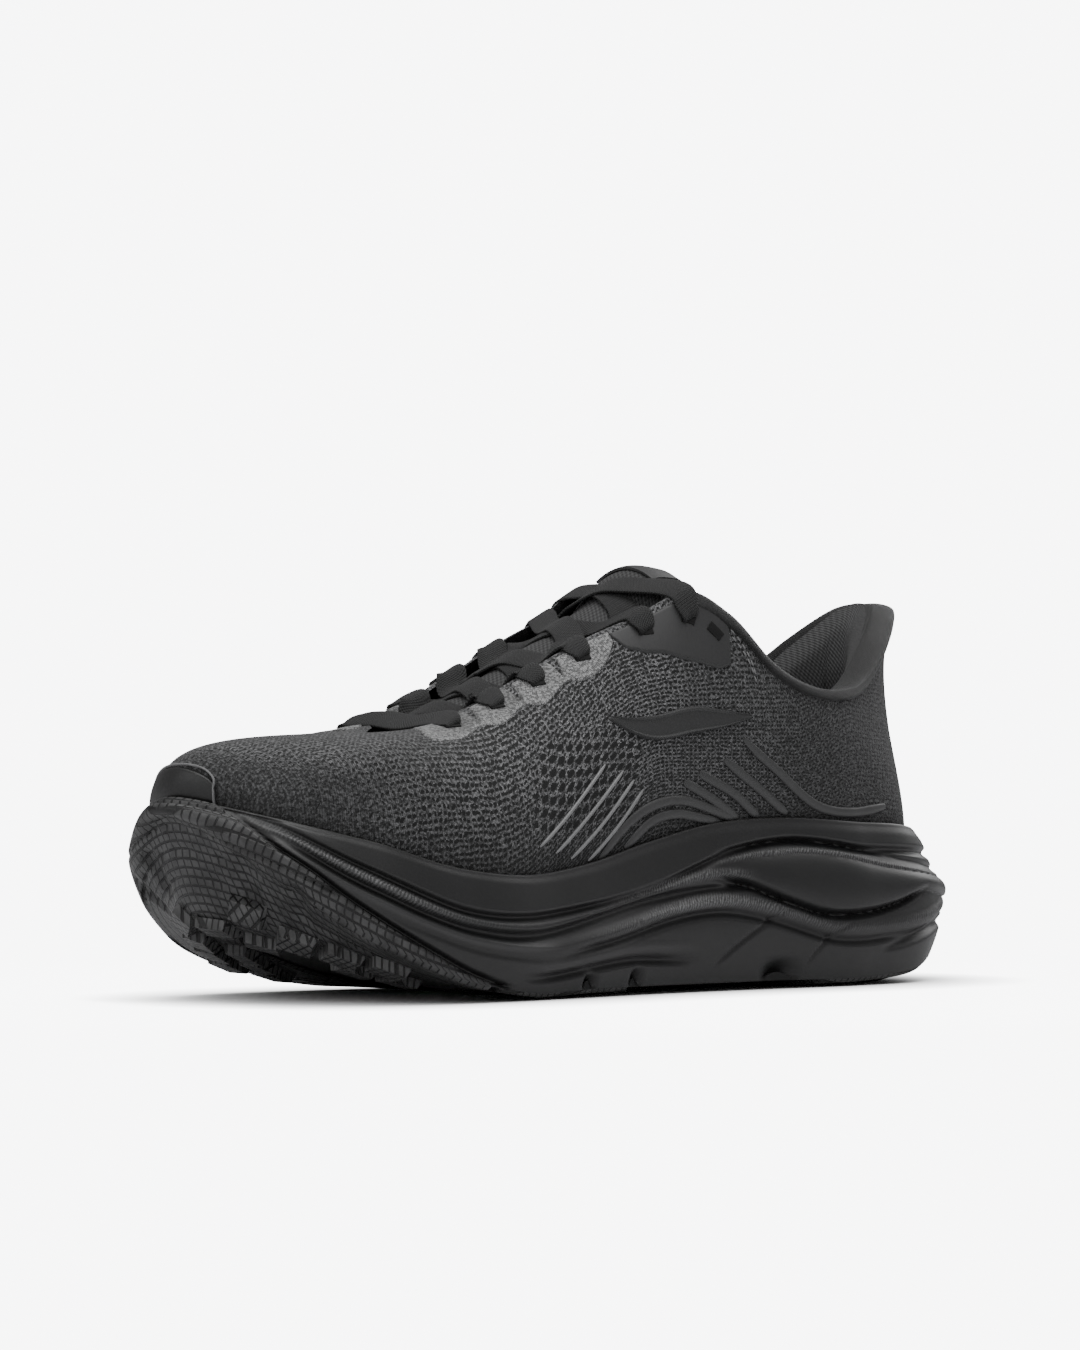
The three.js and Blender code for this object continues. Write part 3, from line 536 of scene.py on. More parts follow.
class Paint:
    """A material being mixed, and the one place where its nodes are made."""

    def __init__(self, name: str) -> None:
        """Starts an empty material with a Principled shader."""
        self.material = bpy.data.materials.new(name)
        self.material.use_nodes = True
        self.tree = self.material.node_tree
        self.tree.nodes.clear()
        self.shader = self.tree.nodes.new("ShaderNodeBsdfPrincipled")
        end = self.tree.nodes.new("ShaderNodeOutputMaterial")
        self.tree.links.new(self.shader.outputs[0], end.inputs["Surface"])

    def node(self, kind: str, settings: dict, inputs: dict, output: str | int = 0) -> Wire:
        """Adds a node.

        Args:
            kind: its type.
            settings: its properties, set first.
            inputs: values or wires by socket name or number.
            output: the socket that is returned.

        Returns:
            The output as a wire.
        """
        node = self.tree.nodes.new(kind)
        for key, value in settings.items():
            setattr(node, key, value)
        self.plug(node, inputs)
        return Wire(self, node.outputs[output])

    def plug(self, node: bpy.types.Node, inputs: dict) -> None:
        """Links or sets a node's sockets."""
        for key, value in inputs.items():
            if isinstance(value, Wire):
                self.tree.links.new(value.socket, node.inputs[key])
            else:
                node.inputs[key].default_value = value

    def place(self) -> Wire:
        """Object coordinates, in metres."""
        return self.node("ShaderNodeTexCoord", {}, {}, "Object")

    def flow(self) -> Wire:
        """The piece's own flow map, in metres."""
        return self.node("ShaderNodeUVMap", {"uv_map": "flow"}, {})

    def mask(self, name: str) -> Wire:
        """A point attribute."""
        return self.node("ShaderNodeAttribute", {"attribute_name": name}, {}, "Fac")

    def noise(self, at: Wire, scale: float, detail: float = 2.0) -> Wire:
        """Noise from 0 to 1."""
        return self.node("ShaderNodeTexNoise", {}, {"Vector": at, "Scale": scale, "Detail": detail}, "Fac")

    def cells(self, at: Wire, scale: float, jitter: float = 1.0) -> Wire:
        """Distance from the middles of Voronoi cells."""
        inputs = {"Vector": at, "Scale": scale, "Randomness": jitter}
        return self.node("ShaderNodeTexVoronoi", {}, inputs, "Distance")

    def tint(self, amount: Wire, dark: Sequence[float] | Wire, light: Sequence[float] | Wire) -> Wire:
        """A colour between two."""
        ends = {6: self.opaque(dark), 7: self.opaque(light)}
        return self.node("ShaderNodeMix", {"data_type": "RGBA"}, {0: amount, **ends}, 2)

    @staticmethod
    def opaque(colour: Sequence[float] | Wire) -> Sequence[float] | Wire:
        """A colour with its alpha."""
        return colour if isinstance(colour, Wire) else (*colour, 1.0)

    def neutral(self, level: Wire, blue: float = 1.0) -> Wire:
        """A grey of a linear level, its blue scaled."""
        tall = level if blue == 1.0 else level * blue
        return self.node("ShaderNodeCombineColor", {}, {0: level, 1: level, 2: tall})

    def relief(self, height: Wire, distance: float, strength: float = 1.0) -> Wire:
        """A bumped normal."""
        return self.node("ShaderNodeBump", {}, {"Height": height, "Distance": distance, "Strength": strength})

    def finish(self, **inputs: Number) -> bpy.types.Material:
        """Sets the Principled sockets, underscores standing for spaces, and returns the material."""
        named = {key.replace("_", " "): self.opaque(value) if key == "Base_Color" else value
                 for key, value in inputs.items()}
        self.plug(self.shader, named)
        return self.material


def grey(level: float) -> tuple[float, float, float]:
    """A neutral colour of a linear level."""
    return level, level, level


@dataclass(frozen=True)
class Finish:
    """What a piece is covered with. Each kind mixes its own material."""

    name: str
    tone: float
    roughness: float = 0.6

    def material(self) -> bpy.types.Material:
        """The finish's material, mixed once."""
        key = self.name + "_finish"
        return bpy.data.materials.get(key) or self.mix(Paint(key))

    def mix(self, paint: Paint) -> bpy.types.Material:
        """Plain finish with a faint grain."""
        grain = paint.noise(paint.place(), 900)
        return paint.finish(Base_Color=paint.tint(grain, grey(self.tone * 0.85), grey(self.tone * 1.15)),
                            Roughness=self.roughness, Normal=paint.relief(grain, 0.00012))


@dataclass(frozen=True)
class Foam(Finish):
    """Moulded foam: satin skin with a painted highlight on its crests and painted shade in its grooves and
    notches, and fine hatched strips.
    """

    hatch: float = 0.15

    def mix(self, paint: Paint) -> bpy.types.Material:
        """Reads the wall's masks: crest for the painted highlight, groove for the painted shade, and hatch.
        """
        at = paint.place()
        fine, cloud = paint.noise(at, 1800), paint.noise(at, 28, 3)
        flow = paint.flow()
        slant = flow.axis("X") * 900 + flow.axis("Y") * 420 + paint.noise(at, 300) * 2
        ribs = slant.wave().step(0.15, 0.85)
        speck = paint.noise(at, 1300, 2).step(0.35, 0.6)
        strip = paint.mask("hatch") * (0.25 + 0.75 * ribs) * (0.45 + 0.55 * speck)
        base = self.tone * (0.86 + 0.28 * cloud)
        # painted highlight on the crests, painted shade in the grooves and notches
        base = base * (1 + 1.5 * paint.mask("crest")) * (1 - 0.85 * paint.mask("groove"))
        level = base + self.hatch * strip
        height = fine * 0.12 + strip
        colour = paint.neutral(level, 1.01)
        return paint.finish(Base_Color=colour, Roughness=self.roughness + 0.12 * strip + 0.08 * cloud,
                            Normal=paint.relief(height, 0.00028), Coat_Weight=0.05, Coat_Roughness=0.45)


@dataclass(frozen=True)
class Rubber(Finish):
    """Blown rubber with a fine moulded square grid."""

    pitch: float = 0.0028
    contrast: float = 1.0
    planar: bool = False

    def mix(self, paint: Paint) -> bpy.types.Material:
        """Squares between dark lines on the flow map."""
        at = paint.place()
        flow = at if self.planar else paint.flow()
        u, v = flow.axis("X") / self.pitch, flow.axis("Y") / self.pitch
        square = u.wave().step(0.1, 0.26) * v.wave().step(0.14, 0.32)
        patchy = paint.noise(at, 160, 3).step(0.32, 0.62)
        grit = paint.noise(at, 2600)
        line = self.tone * (0.15 + 0.2 * grit)
        level = line + self.tone * 5.0 * self.contrast * square * (0.45 + 0.55 * patchy)
        colour = paint.neutral(level)
        return paint.finish(Base_Color=colour, Roughness=self.roughness,
                            Normal=paint.relief(square + grit * 0.1, 0.00045))


@dataclass(frozen=True)
class Knit(Finish):
    """Engineered knit: light yarn round pores painted near-black as shade inside the openings, larger where
    the mask says; the strands carry painted highlight and shade.
    """

    pitch: float = 0.0018
    # the near-black of the pores and vents is painted shade inside the openings
    dark: float = 0.0006
    vent_pitch: float = 0.0047

    def mix(self, paint: Paint) -> bpy.types.Material:
        """Pores in offset rows, their size from the `pore` mask and the yarn's tone from `yarn`."""
        flow, at = paint.flow(), paint.place()
        warp = (paint.noise(at, 330, 3) - 0.5) * 1.3
        u0 = flow.axis("X") / self.pitch
        v = flow.axis("Y") / (self.pitch * 0.8) + warp
        u = u0 + v * paint.mask("lean") + v.math("FLOOR") * 0.5 + warp
        du, dv = u.math("FRACT") - 0.5, v.math("FRACT") - 0.5
        spread = du + dv * 0.35
        away = (spread * spread + dv * dv * 1.9).math("SQRT")
        size = paint.mask("pore") * (0.2 + 1.75 * paint.noise(at, 640, 1))
        hole = ((size - away) / 0.13).clamp()
        x, y = flow.axis("X") / self.vent_pitch, flow.axis("Y") / self.vent_pitch
        hu, hv = x + y * 0.45, y / 0.62 - x * 0.2
        hu = (hu + hv.math("FLOOR") * 0.5).math("FRACT") - 0.5
        hv = hv.math("FRACT") - 0.5
        slant = hu + hv * 0.35
        far = (slant * slant * 1.3 + hv * hu * -0.5 + hv * hv * 0.8).math("ABSOLUTE").math("SQRT")
        vent = ((paint.mask("vent") * 0.4 - far) / 0.08).clamp()
        hole = hole.math("MAXIMUM", vent)
        # the waves along the strands paint highlight and shade on each yarn
        strand = (u0 * 3.0 + v * 0.5).wave() * 0.5 + (v * 2.0 + du).wave() * 0.5
        fuzz = paint.noise(at, 1150, 2).step(0.36, 0.64)
        yarn = self.tone * paint.mask("yarn") * (0.2 + 1.3 * strand) * (0.28 + 1.5 * fuzz)
        level = yarn * (1 - hole) + self.dark * hole
        colour = paint.neutral(level, 1.02)
        height = (1 - hole) * (0.55 + 0.25 * strand + 0.2 * fuzz)
        return paint.finish(Base_Color=colour, Roughness=self.roughness, Sheen_Weight=0.05,
                            Sheen_Roughness=0.5, Normal=paint.relief(height, 0.0009))


@dataclass(frozen=True)
class Woven(Finish):
    """Woven or jersey textile with a fine twill on its flow map."""

    pitch: float = 0.0011
    contrast: float = 0.5

    def mix(self, paint: Paint) -> bpy.types.Material:
        """Crossing threads, lit and shaded thread by thread."""
        flow, at = paint.flow(), paint.place()
        u, v = flow.axis("X") / self.pitch, flow.axis("Y") / self.pitch
        twill = (u + v).wave() * 0.6 + (u - v * 0.5).wave() * 0.4
        fuzz = paint.noise(at, 1700, 2)
        level = self.tone * (1 - self.contrast + self.contrast * 1.6 * twill) * (0.6 + 0.8 * fuzz)
        colour = paint.neutral(level, 1.01)
        return paint.finish(Base_Color=colour, Roughness=self.roughness, Sheen_Weight=0.06,
                            Sheen_Roughness=0.4, Normal=paint.relief(twill + fuzz * 0.4, 0.0003))


@dataclass(frozen=True)
class Film(Finish):
    """Thin fused film: satin, with the cloth under it faintly telegraphing through."""

    weave: float = 0.25

    def mix(self, paint: Paint) -> bpy.types.Material:
        """Cloth cells under a smooth skin."""
        at = paint.place()
        under = paint.cells(at, 620, 0.6)
        cloud = paint.noise(at, 60, 3)
        level = self.tone * (0.85 + 0.3 * cloud)
        colour = paint.neutral(level, 1.01)
        return paint.finish(Base_Color=colour, Roughness=self.roughness + 0.1 * cloud,
                            Normal=paint.relief(under, 0.00012, self.weave))


@dataclass(frozen=True)
class Embroidery(Finish):
    """Dense satin stitch in light thread, its stitches running across the flow, each thread's stripe lit with
    painted sheen.
    """

    def mix(self, paint: Paint) -> bpy.types.Material:
        """Threads along Y of the flow, broken into short stitches."""
        flow, at = paint.flow(), paint.place()
        thread = (flow.axis("X") * 1500 + paint.noise(at, 500, 2) * 1.3).wave()
        lengths = paint.noise(at, 900, 3)
        gap = paint.cells(at, 1150).step(0.35, 0.75)
        # the thread wave marks the threads and is painted sheen along each one
        level = self.tone * (0.55 + 0.5 * thread) * (0.45 + 1.0 * lengths) * (1 - 0.6 * gap)
        colour = paint.neutral(level)
        return paint.finish(Base_Color=colour, Roughness=self.roughness, Sheen_Weight=0.1,
                            Normal=paint.relief(thread * 0.6 + lengths - gap, 0.0004))


MIDSOLE = Foam("midsole_foam", 0.016, 0.42)
OUTSOLE = Rubber("outsole_rubber", 0.011, 0.45)
UPPER_KNIT = Knit("upper_knit", 0.14, 0.8)
HEEL_FILM = Film("heel_film", 0.032, 0.55)
PLATE_FILM = Film("plate_film", 0.036, 0.5, 0.12)
RIB_FILM = Film("rib_film", 0.05, 0.42)
# a lighter copy of the rib film for the four thin ribs: a painted highlight
RIB_PAINTED_HIGHLIGHT = Film("bright_rib", 0.2, 0.35, 0.05)
SEAM_THREAD = Film("seam_thread", 0.2, 0.6)
BAND_THREAD = Embroidery("band_thread", 0.5, 0.8)
COLLAR_CLOTH = Woven("collar_cloth", 0.02, 0.5, 0.0007, 0.25)
LINING_CLOTH = Woven("lining_cloth", 0.05, 0.8, 0.0016, 0.75)
TONGUE_KNIT = Woven("tongue_knit", 0.045, 0.8, 0.0019, 0.9)
LACE_CLOTH = Woven("lace_cloth", 0.009, 0.75, 0.0010, 0.7)
HEEL_PLASTIC = Finish("counter_plastic", 0.05, 0.5)
PUFF_BOARD = Finish("toe_puff_board", 0.12, 0.9)
BOARD = Finish("strobel_board", 0.22, 0.95)
SOFT_FOAM = Finish("cut_foam", 0.08, 0.95)
LUG_RUBBER = Rubber("lug_rubber", 0.014, 0.5, 0.0022, 1.3, True)
TOE_RUBBER = Film("toe_guard_rubber", 0.012, 0.4)
# near-black: painted shade in the eyelet holes
EYELET_SHADE = Finish("eyelet_painted_shade", 0.002, 0.9)
AGLET = Finish("aglet_plastic", 0.02, 0.25)


# ---------------------------------------------------------------- sole


def table(*rows: tuple[float, ...]) -> Array:
    """Rows of a keyed curve."""
    return np.array(rows, float)


def along_curve(curve: Array, phi: Array) -> Array:
    """Value of a keyed curve at phi, and it holds beyond its ends."""
    return LAST.keyed(curve, phi)[..., 0]


@dataclass(frozen=True)
class Crease:
    """A line moulded along the foam wall.

    Attributes:
        line: its share of the wall's height at phi.
        width: half its width, in millimetres.
        height: how far it stands out, below 0 for a groove.
        mask: which of the finish's masks it feeds, or none; crest paints a highlight and groove paints shade.
        fade: length of its run-out at both ends, in phi.
        strength: how strongly it feeds the mask, a number or a curve over phi.
    """

    line: Array
    width: float
    height: float
    mask: str = ""
    fade: float = 0.012
    strength: float | Array = 1.0

    def fed(self, phi: Array) -> Array:
        """How strongly it feeds the mask at phi."""
        return self.strength if isinstance(self.strength, float) else along_curve(self.strength, phi)

    def weight(self, phi: Array, share: Array, tall: Array) -> Array:
        """How much of the crease there is at a place on the wall."""
        a, b = self.line[0, 0], self.line[-1, 0]
        start = smooth(a - self.fade * 0.2, a + self.fade, phi)
        stop = smooth(b + self.fade * 0.2, b - self.fade, phi)
        return bump((share - along_curve(self.line, phi)) * tall, self.width) * start * stop


@dataclass
class Midsole:
    """The foam midsole: its wall is one run of moulded bands, pillows and grooves."""

    columns: int = 640
    wall_rows: int = 96
    rim_crease: Array = field(default_factory=lambda: table(
        (0, 0.84), (0.14, 0.83), (0.206, 0.86), (0.255, 0.78), (0.295, 0.7), (0.37, 0.67), (0.44, 0.64),
        (0.464, 0.73), (0.49, 1.0)))
    upper_strip: Array = field(default_factory=lambda: table(
        (0.225, 0.66), (0.263, 0.7), (0.295, 0.69), (0.34, 0.64), (0.38, 0.57), (0.41, 0.54), (0.449, 0.57),
        (0.471, 0.7), (0.488, 0.93)))
    under_groove: Array = field(default_factory=lambda: table(
        (0.225, 0.59), (0.253, 0.6), (0.3, 0.61), (0.34, 0.58), (0.372, 0.53), (0.41, 0.47), (0.449, 0.48),
        (0.471, 0.58), (0.486, 0.8)))
    lower_strip: Array = field(default_factory=lambda: table(
        (0.02, 0.5), (0.06, 0.41), (0.122, 0.34), (0.17, 0.34), (0.215, 0.46), (0.253, 0.53), (0.292, 0.52),
        (0.319, 0.47), (0.372, 0.39)))
    pillow_top: Array = field(default_factory=lambda: table(
        (0, 0.6), (0.06, 0.64), (0.121, 0.71), (0.165, 0.78), (0.228, 0.77), (0.258, 0.74)))
    pillow_foot: Array = field(default_factory=lambda: table(
        (0.09, 0.56), (0.122, 0.46), (0.147, 0.42), (0.18, 0.42), (0.2, 0.48), (0.228, 0.59), (0.258, 0.68)))
    low_groove: Array = field(default_factory=lambda: table(
        (0.27, 0.16), (0.285, 0.17), (0.323, 0.2), (0.36, 0.16), (0.4, 0.11)))
    toe_edge: Array = field(default_factory=lambda: table(
        (0.4, -0.02), (0.41, 0.01), (0.425, 0.06), (0.44, 0.12), (0.455, 0.2), (0.47, 0.33), (0.481, 0.52),
        (0.487, 0.8), (0.49, 0.97)))

    notches: tuple[tuple[float, float], ...] = ((0.349, 0.006), (0.314, 0.006), (0.206, 0.018))

    def creases(self) -> list[Crease]:
        """Every line along the wall, from rim to ground."""
        return [
            # creases feeding crest paint a highlight, creases feeding groove paint shade
            Crease(self.rim_crease, 2.2, -1.5, "groove", 0.01),
            Crease(self.upper_strip, 2.4, 0.6, "hatch", 0.02, table(
                (0.22, 0.3), (0.25, 0.7), (0.29, 0.6), (0.33, 0.12), (0.4, 0.1), (0.43, 0.35), (0.455, 1),
                (0.48, 0.9))),
            Crease(self.under_groove, 2.4, -1.7, "groove", 0.02),
            Crease(self.under_groove - [0, 0.1], 2.2, 0.5, "crest", 0.03, 0.9),
            Crease(self.lower_strip, 3.0, 0.6, "hatch", 0.03, table(
                (0.02, 0.6), (0.06, 0.8), (0.12, 0.15), (0.17, 0.3), (0.22, 0.8), (0.27, 1), (0.31, 0.5),
                (0.35, 0.1))),
            Crease(self.lower_strip - [0, 0.085], 2.2, -1.3, "groove", 0.03),
            Crease(self.pillow_top + [0, 0.015], 1.5, 0.7, "hatch", 0.02, table(
                (0.02, 0.1), (0.1, 0.3), (0.15, 0.7), (0.2, 1), (0.25, 0.3))),
            Crease(self.pillow_top + [0, 0.075], 1.6, -0.9, "groove", 0.02, 0.8),
            Crease(self.pillow_foot, 2.4, -2.2, "groove", 0.02),
            Crease(self.low_groove, 2.4, -1.6, "groove", 0.03),
            Crease(self.low_groove + [0, 0.09], 2.6, 0.35, "crest", 0.03, 0.6),
            Crease(self.toe_edge + [0, 0.03], 1.6, -1.6, "groove", 0.004),
            Crease(table((0.373, 0.3), (0.42, 0.29), (0.46, 0.3)), 2.0, -0.4, "groove", 0.03, 0.5),
            Crease(table((0.0, 0.2), (0.06, 0.27), (0.13, 0.19)), 2.6, -1.6, "groove", 0.02),
            Crease(table((0.2, 0.46), (0.212, 0.4), (0.235, 0.27), (0.258, 0.1)),
                   1.2, -0.7, "groove", 0.01, 0.7),
            Crease(table((0.155, 0.36), (0.165, 0.32), (0.18, 0.2), (0.192, 0.05)),
                   1.2, -0.7, "groove", 0.01, 0.7),
        ]

    def sculpt(self, phi: Array, share: Array) -> tuple[Array, dict[str, Array]]:
        """Height of the moulding over the plain wall, and the finish's masks.

        Args:
            phi: place round the sole, any side.
            share: height up the wall.

        Returns:
            The height in millimetres, and the masks: crest (painted highlight), groove (painted shade) and
                hatch.
        """
        side = folded(phi)
        rim_z, edge_z, *_ = LAST.wall(phi)
        tall = rim_z - edge_z
        masks = {name: np.zeros_like(side) for name in ("crest", "groove", "hatch")}
        over = smooth(-0.02, 0.05, share - along_curve(self.rim_crease, side))
        height = 0.55 * over * smooth(1.0, 0.93, share)
        low, high = along_curve(self.pillow_foot, side), along_curve(self.pillow_top, side)
        foot = np.where(side < 0.09, 0.56 - 2 * (0.09 - side), low)
        t = np.clip((share - foot) / np.maximum(high - foot, 0.02), 0, 1)
        height = height + 2.3 * np.sqrt(np.maximum(4 * t * (1 - t), 0)) * smooth(0.262, 0.2, side)
        between = along_curve(self.under_groove, side) - along_curve(self.lower_strip, side)
        t = np.clip((share - along_curve(self.lower_strip, side)) / np.maximum(between, 0.03), 0, 1)
        height = height - 1.1 * 4 * t * (1 - t) * smooth(0.25, 0.3, side) * smooth(0.44, 0.38, side)
        for crease in self.creases():
            weight = crease.weight(side, share, tall)
            height = height + crease.height * weight
            if crease.mask:
                masks[crease.mask] = np.maximum(masks[crease.mask], weight * crease.fed(side))
        # each notch also feeds the groove mask, painted shade
        for place, half in self.notches:
            notch = bump(side - place, half) * smooth(0.17, 0.05, share)
            height = height - 3.6 * notch
            masks["groove"] = np.maximum(masks["groove"], notch)
        foot_fade = smooth(0.0, 0.03, share) * smooth(1.0, 0.97, share)
        return height * foot_fade, masks

    def build(self) -> bpy.types.Object:
        """The closed foam body, from the tread side up the wall and over the rim into the cup."""
        phis = np.arange(self.columns) / self.columns
        share = np.linspace(0, 1, self.wall_rows)
        phi, level = mesh_grid(phis, share)
        height, masks = self.sculpt(phi, level)
        wall = LAST.wall_point(phi, level) + LAST.outward(phi) * height[..., None]
        side = folded(phis)
        notch = sum(bump(side - place, half) for place, half in self.notches)[:, None] * UP * 2.6
        ground = [LAST.tread(phis, r) + LAST.STEP * UP + notch * smooth(0.6, 0.85, r)
                  for r in (0.3, 0.45, 0.6, 0.7, 0.8, 0.88, 0.94, 0.98)]
        rim_z, _, rim_in, _, bite_in = LAST.wall(phis)
        rim = [LAST.inset(phis, rim_in + step * (bite_in - rim_in), rim_z + up)
               for step, up in ((0.12, 0.35), (0.35, 0.5), (0.62, 0.3), (0.82, -0.2))]
        cup = [LAST.bed(phis, 1.9, 0.6), LAST.bed(phis, 4, 0)]
        cup += [self.middle(phis, k, 0) for k in (0.75, 0.4)]
        front = np.concatenate([np.stack(ground), wall, np.stack(rim + cup)])
        below, above = (np.zeros((len(rings), self.columns)) for rings in (ground, rim + cup))
        spread = {key: np.concatenate([below, value, above]) for key, value in masks.items()}
        return self.capped(front, loop_flow(front), spread)

    @staticmethod
    def middle(phis: Array, share: float, raised: float) -> Array:
        """A ring of the footbed's floor, 1 at 4 mm inside the bite line and 0 on the spine."""
        edge = LAST.bed(phis, 4, 0)
        spine = LAST.spine(edge)
        point = spine + (edge - spine) * share
        point[:, 2] = LAST.keyed(LAST.BED, point[:, 1])[:, 0] + raised
        return point

    def capped(self, front: Array, uv: Array, masks: dict[str, Array]) -> bpy.types.Object:
        """Closes the ground and floor ends of the rings across the sole."""
        rows, cols = front.shape[:2]
        quads = grid_faces(rows, cols, True)
        faces = np.vstack([quads, zipped(0, cols, True), zipped((rows - 1) * cols, cols, False)])
        points = front.reshape(-1, 3)
        corner = np.vstack([wrapped_uv(quads, cols, uv), points[faces[len(quads):], 1:].reshape(-1, 2)])
        return piece("midsole_foam", points, clean(faces), MIDSOLE, corner / 1000,
                     {key: value.ravel() for key, value in masks.items()}, 60)


def zipped(base: int, cols: int, turned: bool) -> Array:
    """Quads straight across a closed ring of points, from one side to the other."""
    i = np.arange(1, cols // 2 - 1)
    quads = np.stack([i, i + 1, cols - i - 1, cols - i], -1) + base
    first = np.array([[0, 0, 1, cols - 1]]) + base
    last = np.array([[cols // 2 - 1, cols // 2, cols // 2, cols // 2 + 1]]) + base
    quads = np.vstack([first, quads, last])
    return quads[:, ::-1] if turned else quads


def clean(faces: Array) -> list[list[int]]:
    """Faces as lists, where a quad that repeats a corner becomes a triangle."""
    return [list(dict.fromkeys(face)) for face in faces.tolist()]


def loop_flow(front: Array) -> Array:
    """Flow map of a closed grid: length round the middle row and up each column, its seam column twice."""
    middle = front[front.shape[0] // 2]
    run = arc_length(np.vstack([middle, middle[:1]])[None], axis=1)[0]
    up = arc_length(front, axis=0)
    up = np.concatenate([up, up[:, :1]], axis=1)
    return np.stack(np.broadcast_arrays(run[None], up), -1)


def wrapped_uv(quads: Array, cols: int, uv: Array) -> Array:
    """Flow coordinates of the corners of a closed grid's quads."""
    j, i = np.divmod(quads, cols)
    i = np.where((i == 0) & (i.max(axis=1, keepdims=True) == cols - 1), cols, i)
    return uv[j, i].reshape(-1, 2)


@dataclass
class ToeRubber:
    """The front tread pod, carried up the toe of the foam as a guard."""

    first: float = 0.412
    last: float = 0.588
    thickness: float = 1.5
    columns: int = 260

    def height(self, phi: Array) -> Array:
        """How far up the wall the guard reaches."""
        side = folded(phi)
        keys = table((0.41, 0.02), (0.425, 0.06), (0.44, 0.12), (0.455, 0.2), (0.47, 0.33), (0.481, 0.52),
                     (0.487, 0.8), (0.49, 0.97), (0.5, 0.985))
        return along_curve(keys, side)

    def build(self) -> bpy.types.Object:
        """Rows run out over the tread and then up the wall."""
        phis = np.linspace(self.first, self.last, self.columns)
        under = np.linspace(0.34, 1.0, 34)
        up = np.linspace(0.02, 1, 46)
        phi, r = mesh_grid(phis, under)
        tread = LAST.tread(phi, r) + LAST.STEP * UP
        phi_up, t = mesh_grid(phis, up)
        wall = LAST.wall_point(phi_up, t * self.height(phi_up))
        skin = np.concatenate([tread, wall])
        phi = np.concatenate([phi, phi_up])
        normal = grid_normals(skin)
        run, rise = arc_length(skin, 1), arc_length(skin, 0)
        inside = np.minimum.reduce([rise, rise[-1:] - rise, run, run[:, -1:] - run])
        edge = np.sqrt(np.clip(1 - (1 - np.clip(inside / 1.1, 0, 1)) ** 2, 0, 1))
        depth = self.moulding(phi, rise)
        front = skin + normal * ((self.thickness - depth) * edge)[..., None]
        back = skin - normal * 0.3
        flow = np.stack([run - run[:, self.columns // 2:self.columns // 2 + 1], rise], -1)
        return shell("outsole_toe_rubber", front, back, OUTSOLE, uv=flow)

    def moulding(self, phi: Array, rise: Array) -> Array:
        """Depth of the cross grooves and the slots moulded into the guard."""
        across = bump((rise / 8.0) % 1 - 0.5, 0.09) * smooth(20, 30, rise)
        slots = sum(bump((phi - place) * 700, 2.4) * smooth(24, 27, rise) * smooth(42, 39, rise)
                    for place in (0.474, 0.486, 0.514, 0.526))
        return np.minimum(0.8 * across + 1.3 * np.minimum(slots, 1), 1.4)


def grid_normals(points: Array) -> Array:
    """Unit normals over a grid of points, turned to face away from the shoe's inside."""
    du, dv = np.gradient(points, axis=1), np.gradient(points, axis=0)
    normal = np.cross(du, dv)
    normal /= np.maximum(np.linalg.norm(normal, axis=-1, keepdims=True), 1e-9)
    away = points - np.array([-2.0, 0.0, 40.0]) * [1, 0, 1] - points * [0, 0.72, 0]
    return normal * np.sign(np.sum(np.einsum("...i,...i->...", normal, away)))


@dataclass(frozen=True)
class Pod:
    """A rubber pod of the tread."""

    name: str
    first: float
    last: float
    inner: float
    outer: float = 0.985


@dataclass
class Tread:
    """The rubber under the sole: pods with a grid of lugs."""

    pods: tuple[Pod, ...] = (
        Pod("outsole_forefoot_lateral", 0.318, 0.407, 0.42),
        Pod("outsole_forefoot_medial", 0.593, 0.69, 0.42),
        Pod("outsole_heel_lateral", 0.012, 0.175, 0.4),
        Pod("outsole_heel_medial", 0.825, 0.988, 0.4),
    )
    pitch: float = 7.2
    lug: tuple[float, float, float] = (12.5, 8.5, 3.0)

    def pod(self, pod: Pod) -> bpy.types.Object:
        """One pod, its face cut by grooves into blocks."""
        span = (pod.last - pod.first) * 720
        phis = np.linspace(pod.first, pod.last, int(span * 1.5))
        phi, r = mesh_grid(phis, np.linspace(pod.inner, pod.outer, 70))
        skin = LAST.tread(phi, r) + UP * 1.15
        run, rise = arc_length(skin, 1), arc_length(skin, 0)
        inside = np.minimum.reduce([rise, rise[-1:] - rise, run, run[:, -1:] - run])
        edge = np.clip(inside / 0.6, 0, 1)
        cut = np.maximum(bump((run / self.pitch) % 1 - 0.5, 0.13), bump((rise / self.pitch) % 1 - 0.5, 0.13))
        cut = cut * smooth(1.5, 3, inside)
        front = skin - UP * (1.15 * edge * (1 - 0.6 * cut))[..., None]
        return shell(pod.name + "_rubber", front, skin + UP * 0.3, OUTSOLE, uv=np.stack([run, rise], -1))

    def lugs(self) -> bpy.types.Object:
        """Raised blocks in offset rows over the front of the tread, where it lifts off the ground."""
        forms = Repeat("toe_lugs", Shape.LUG, self.lug[0], self.lug[1], self.lug[2], LUG_RUBBER)
        grids = mesh_grid(np.linspace(0.42, 0.58, 200), np.linspace(0.36, 0.86, 90))
        phi, r = (grid.ravel() for grid in grids)
        skin = LAST.tread(phi, r)
        spots, alongs, outs = [], [], []
        for row, y in enumerate(np.arange(-142, -84, self.lug[1] + 2.4)):
            for x in np.arange(-54, 54, self.lug[0] + 2.2) + (row % 2) * self.lug[0] * 0.55:
                gap = np.hypot(skin[:, 0] - x, skin[:, 1] - y)
                k = int(np.argmin(gap))
                if gap[k] > 1.2 or not 0.42 < r[k] < 0.83 or skin[k, 2] < 2.4:
                    continue
                near = LAST.tread(phi[k] + np.array([0.003, -0.003, 0]), r[k] + np.array([0, 0, 0.02]))
                down = np.cross(near[0] - near[1], near[2] - skin[k])
                down *= -np.sign(down[2]) / np.linalg.norm(down)
                spots.append(skin[k] + down * 0.1)
                alongs.append(near[0] - near[1])
                outs.append(down)
        return forms.place(np.array(spots), np.array(alongs), np.array(outs))


# ---------------------------------------------------------------- upper


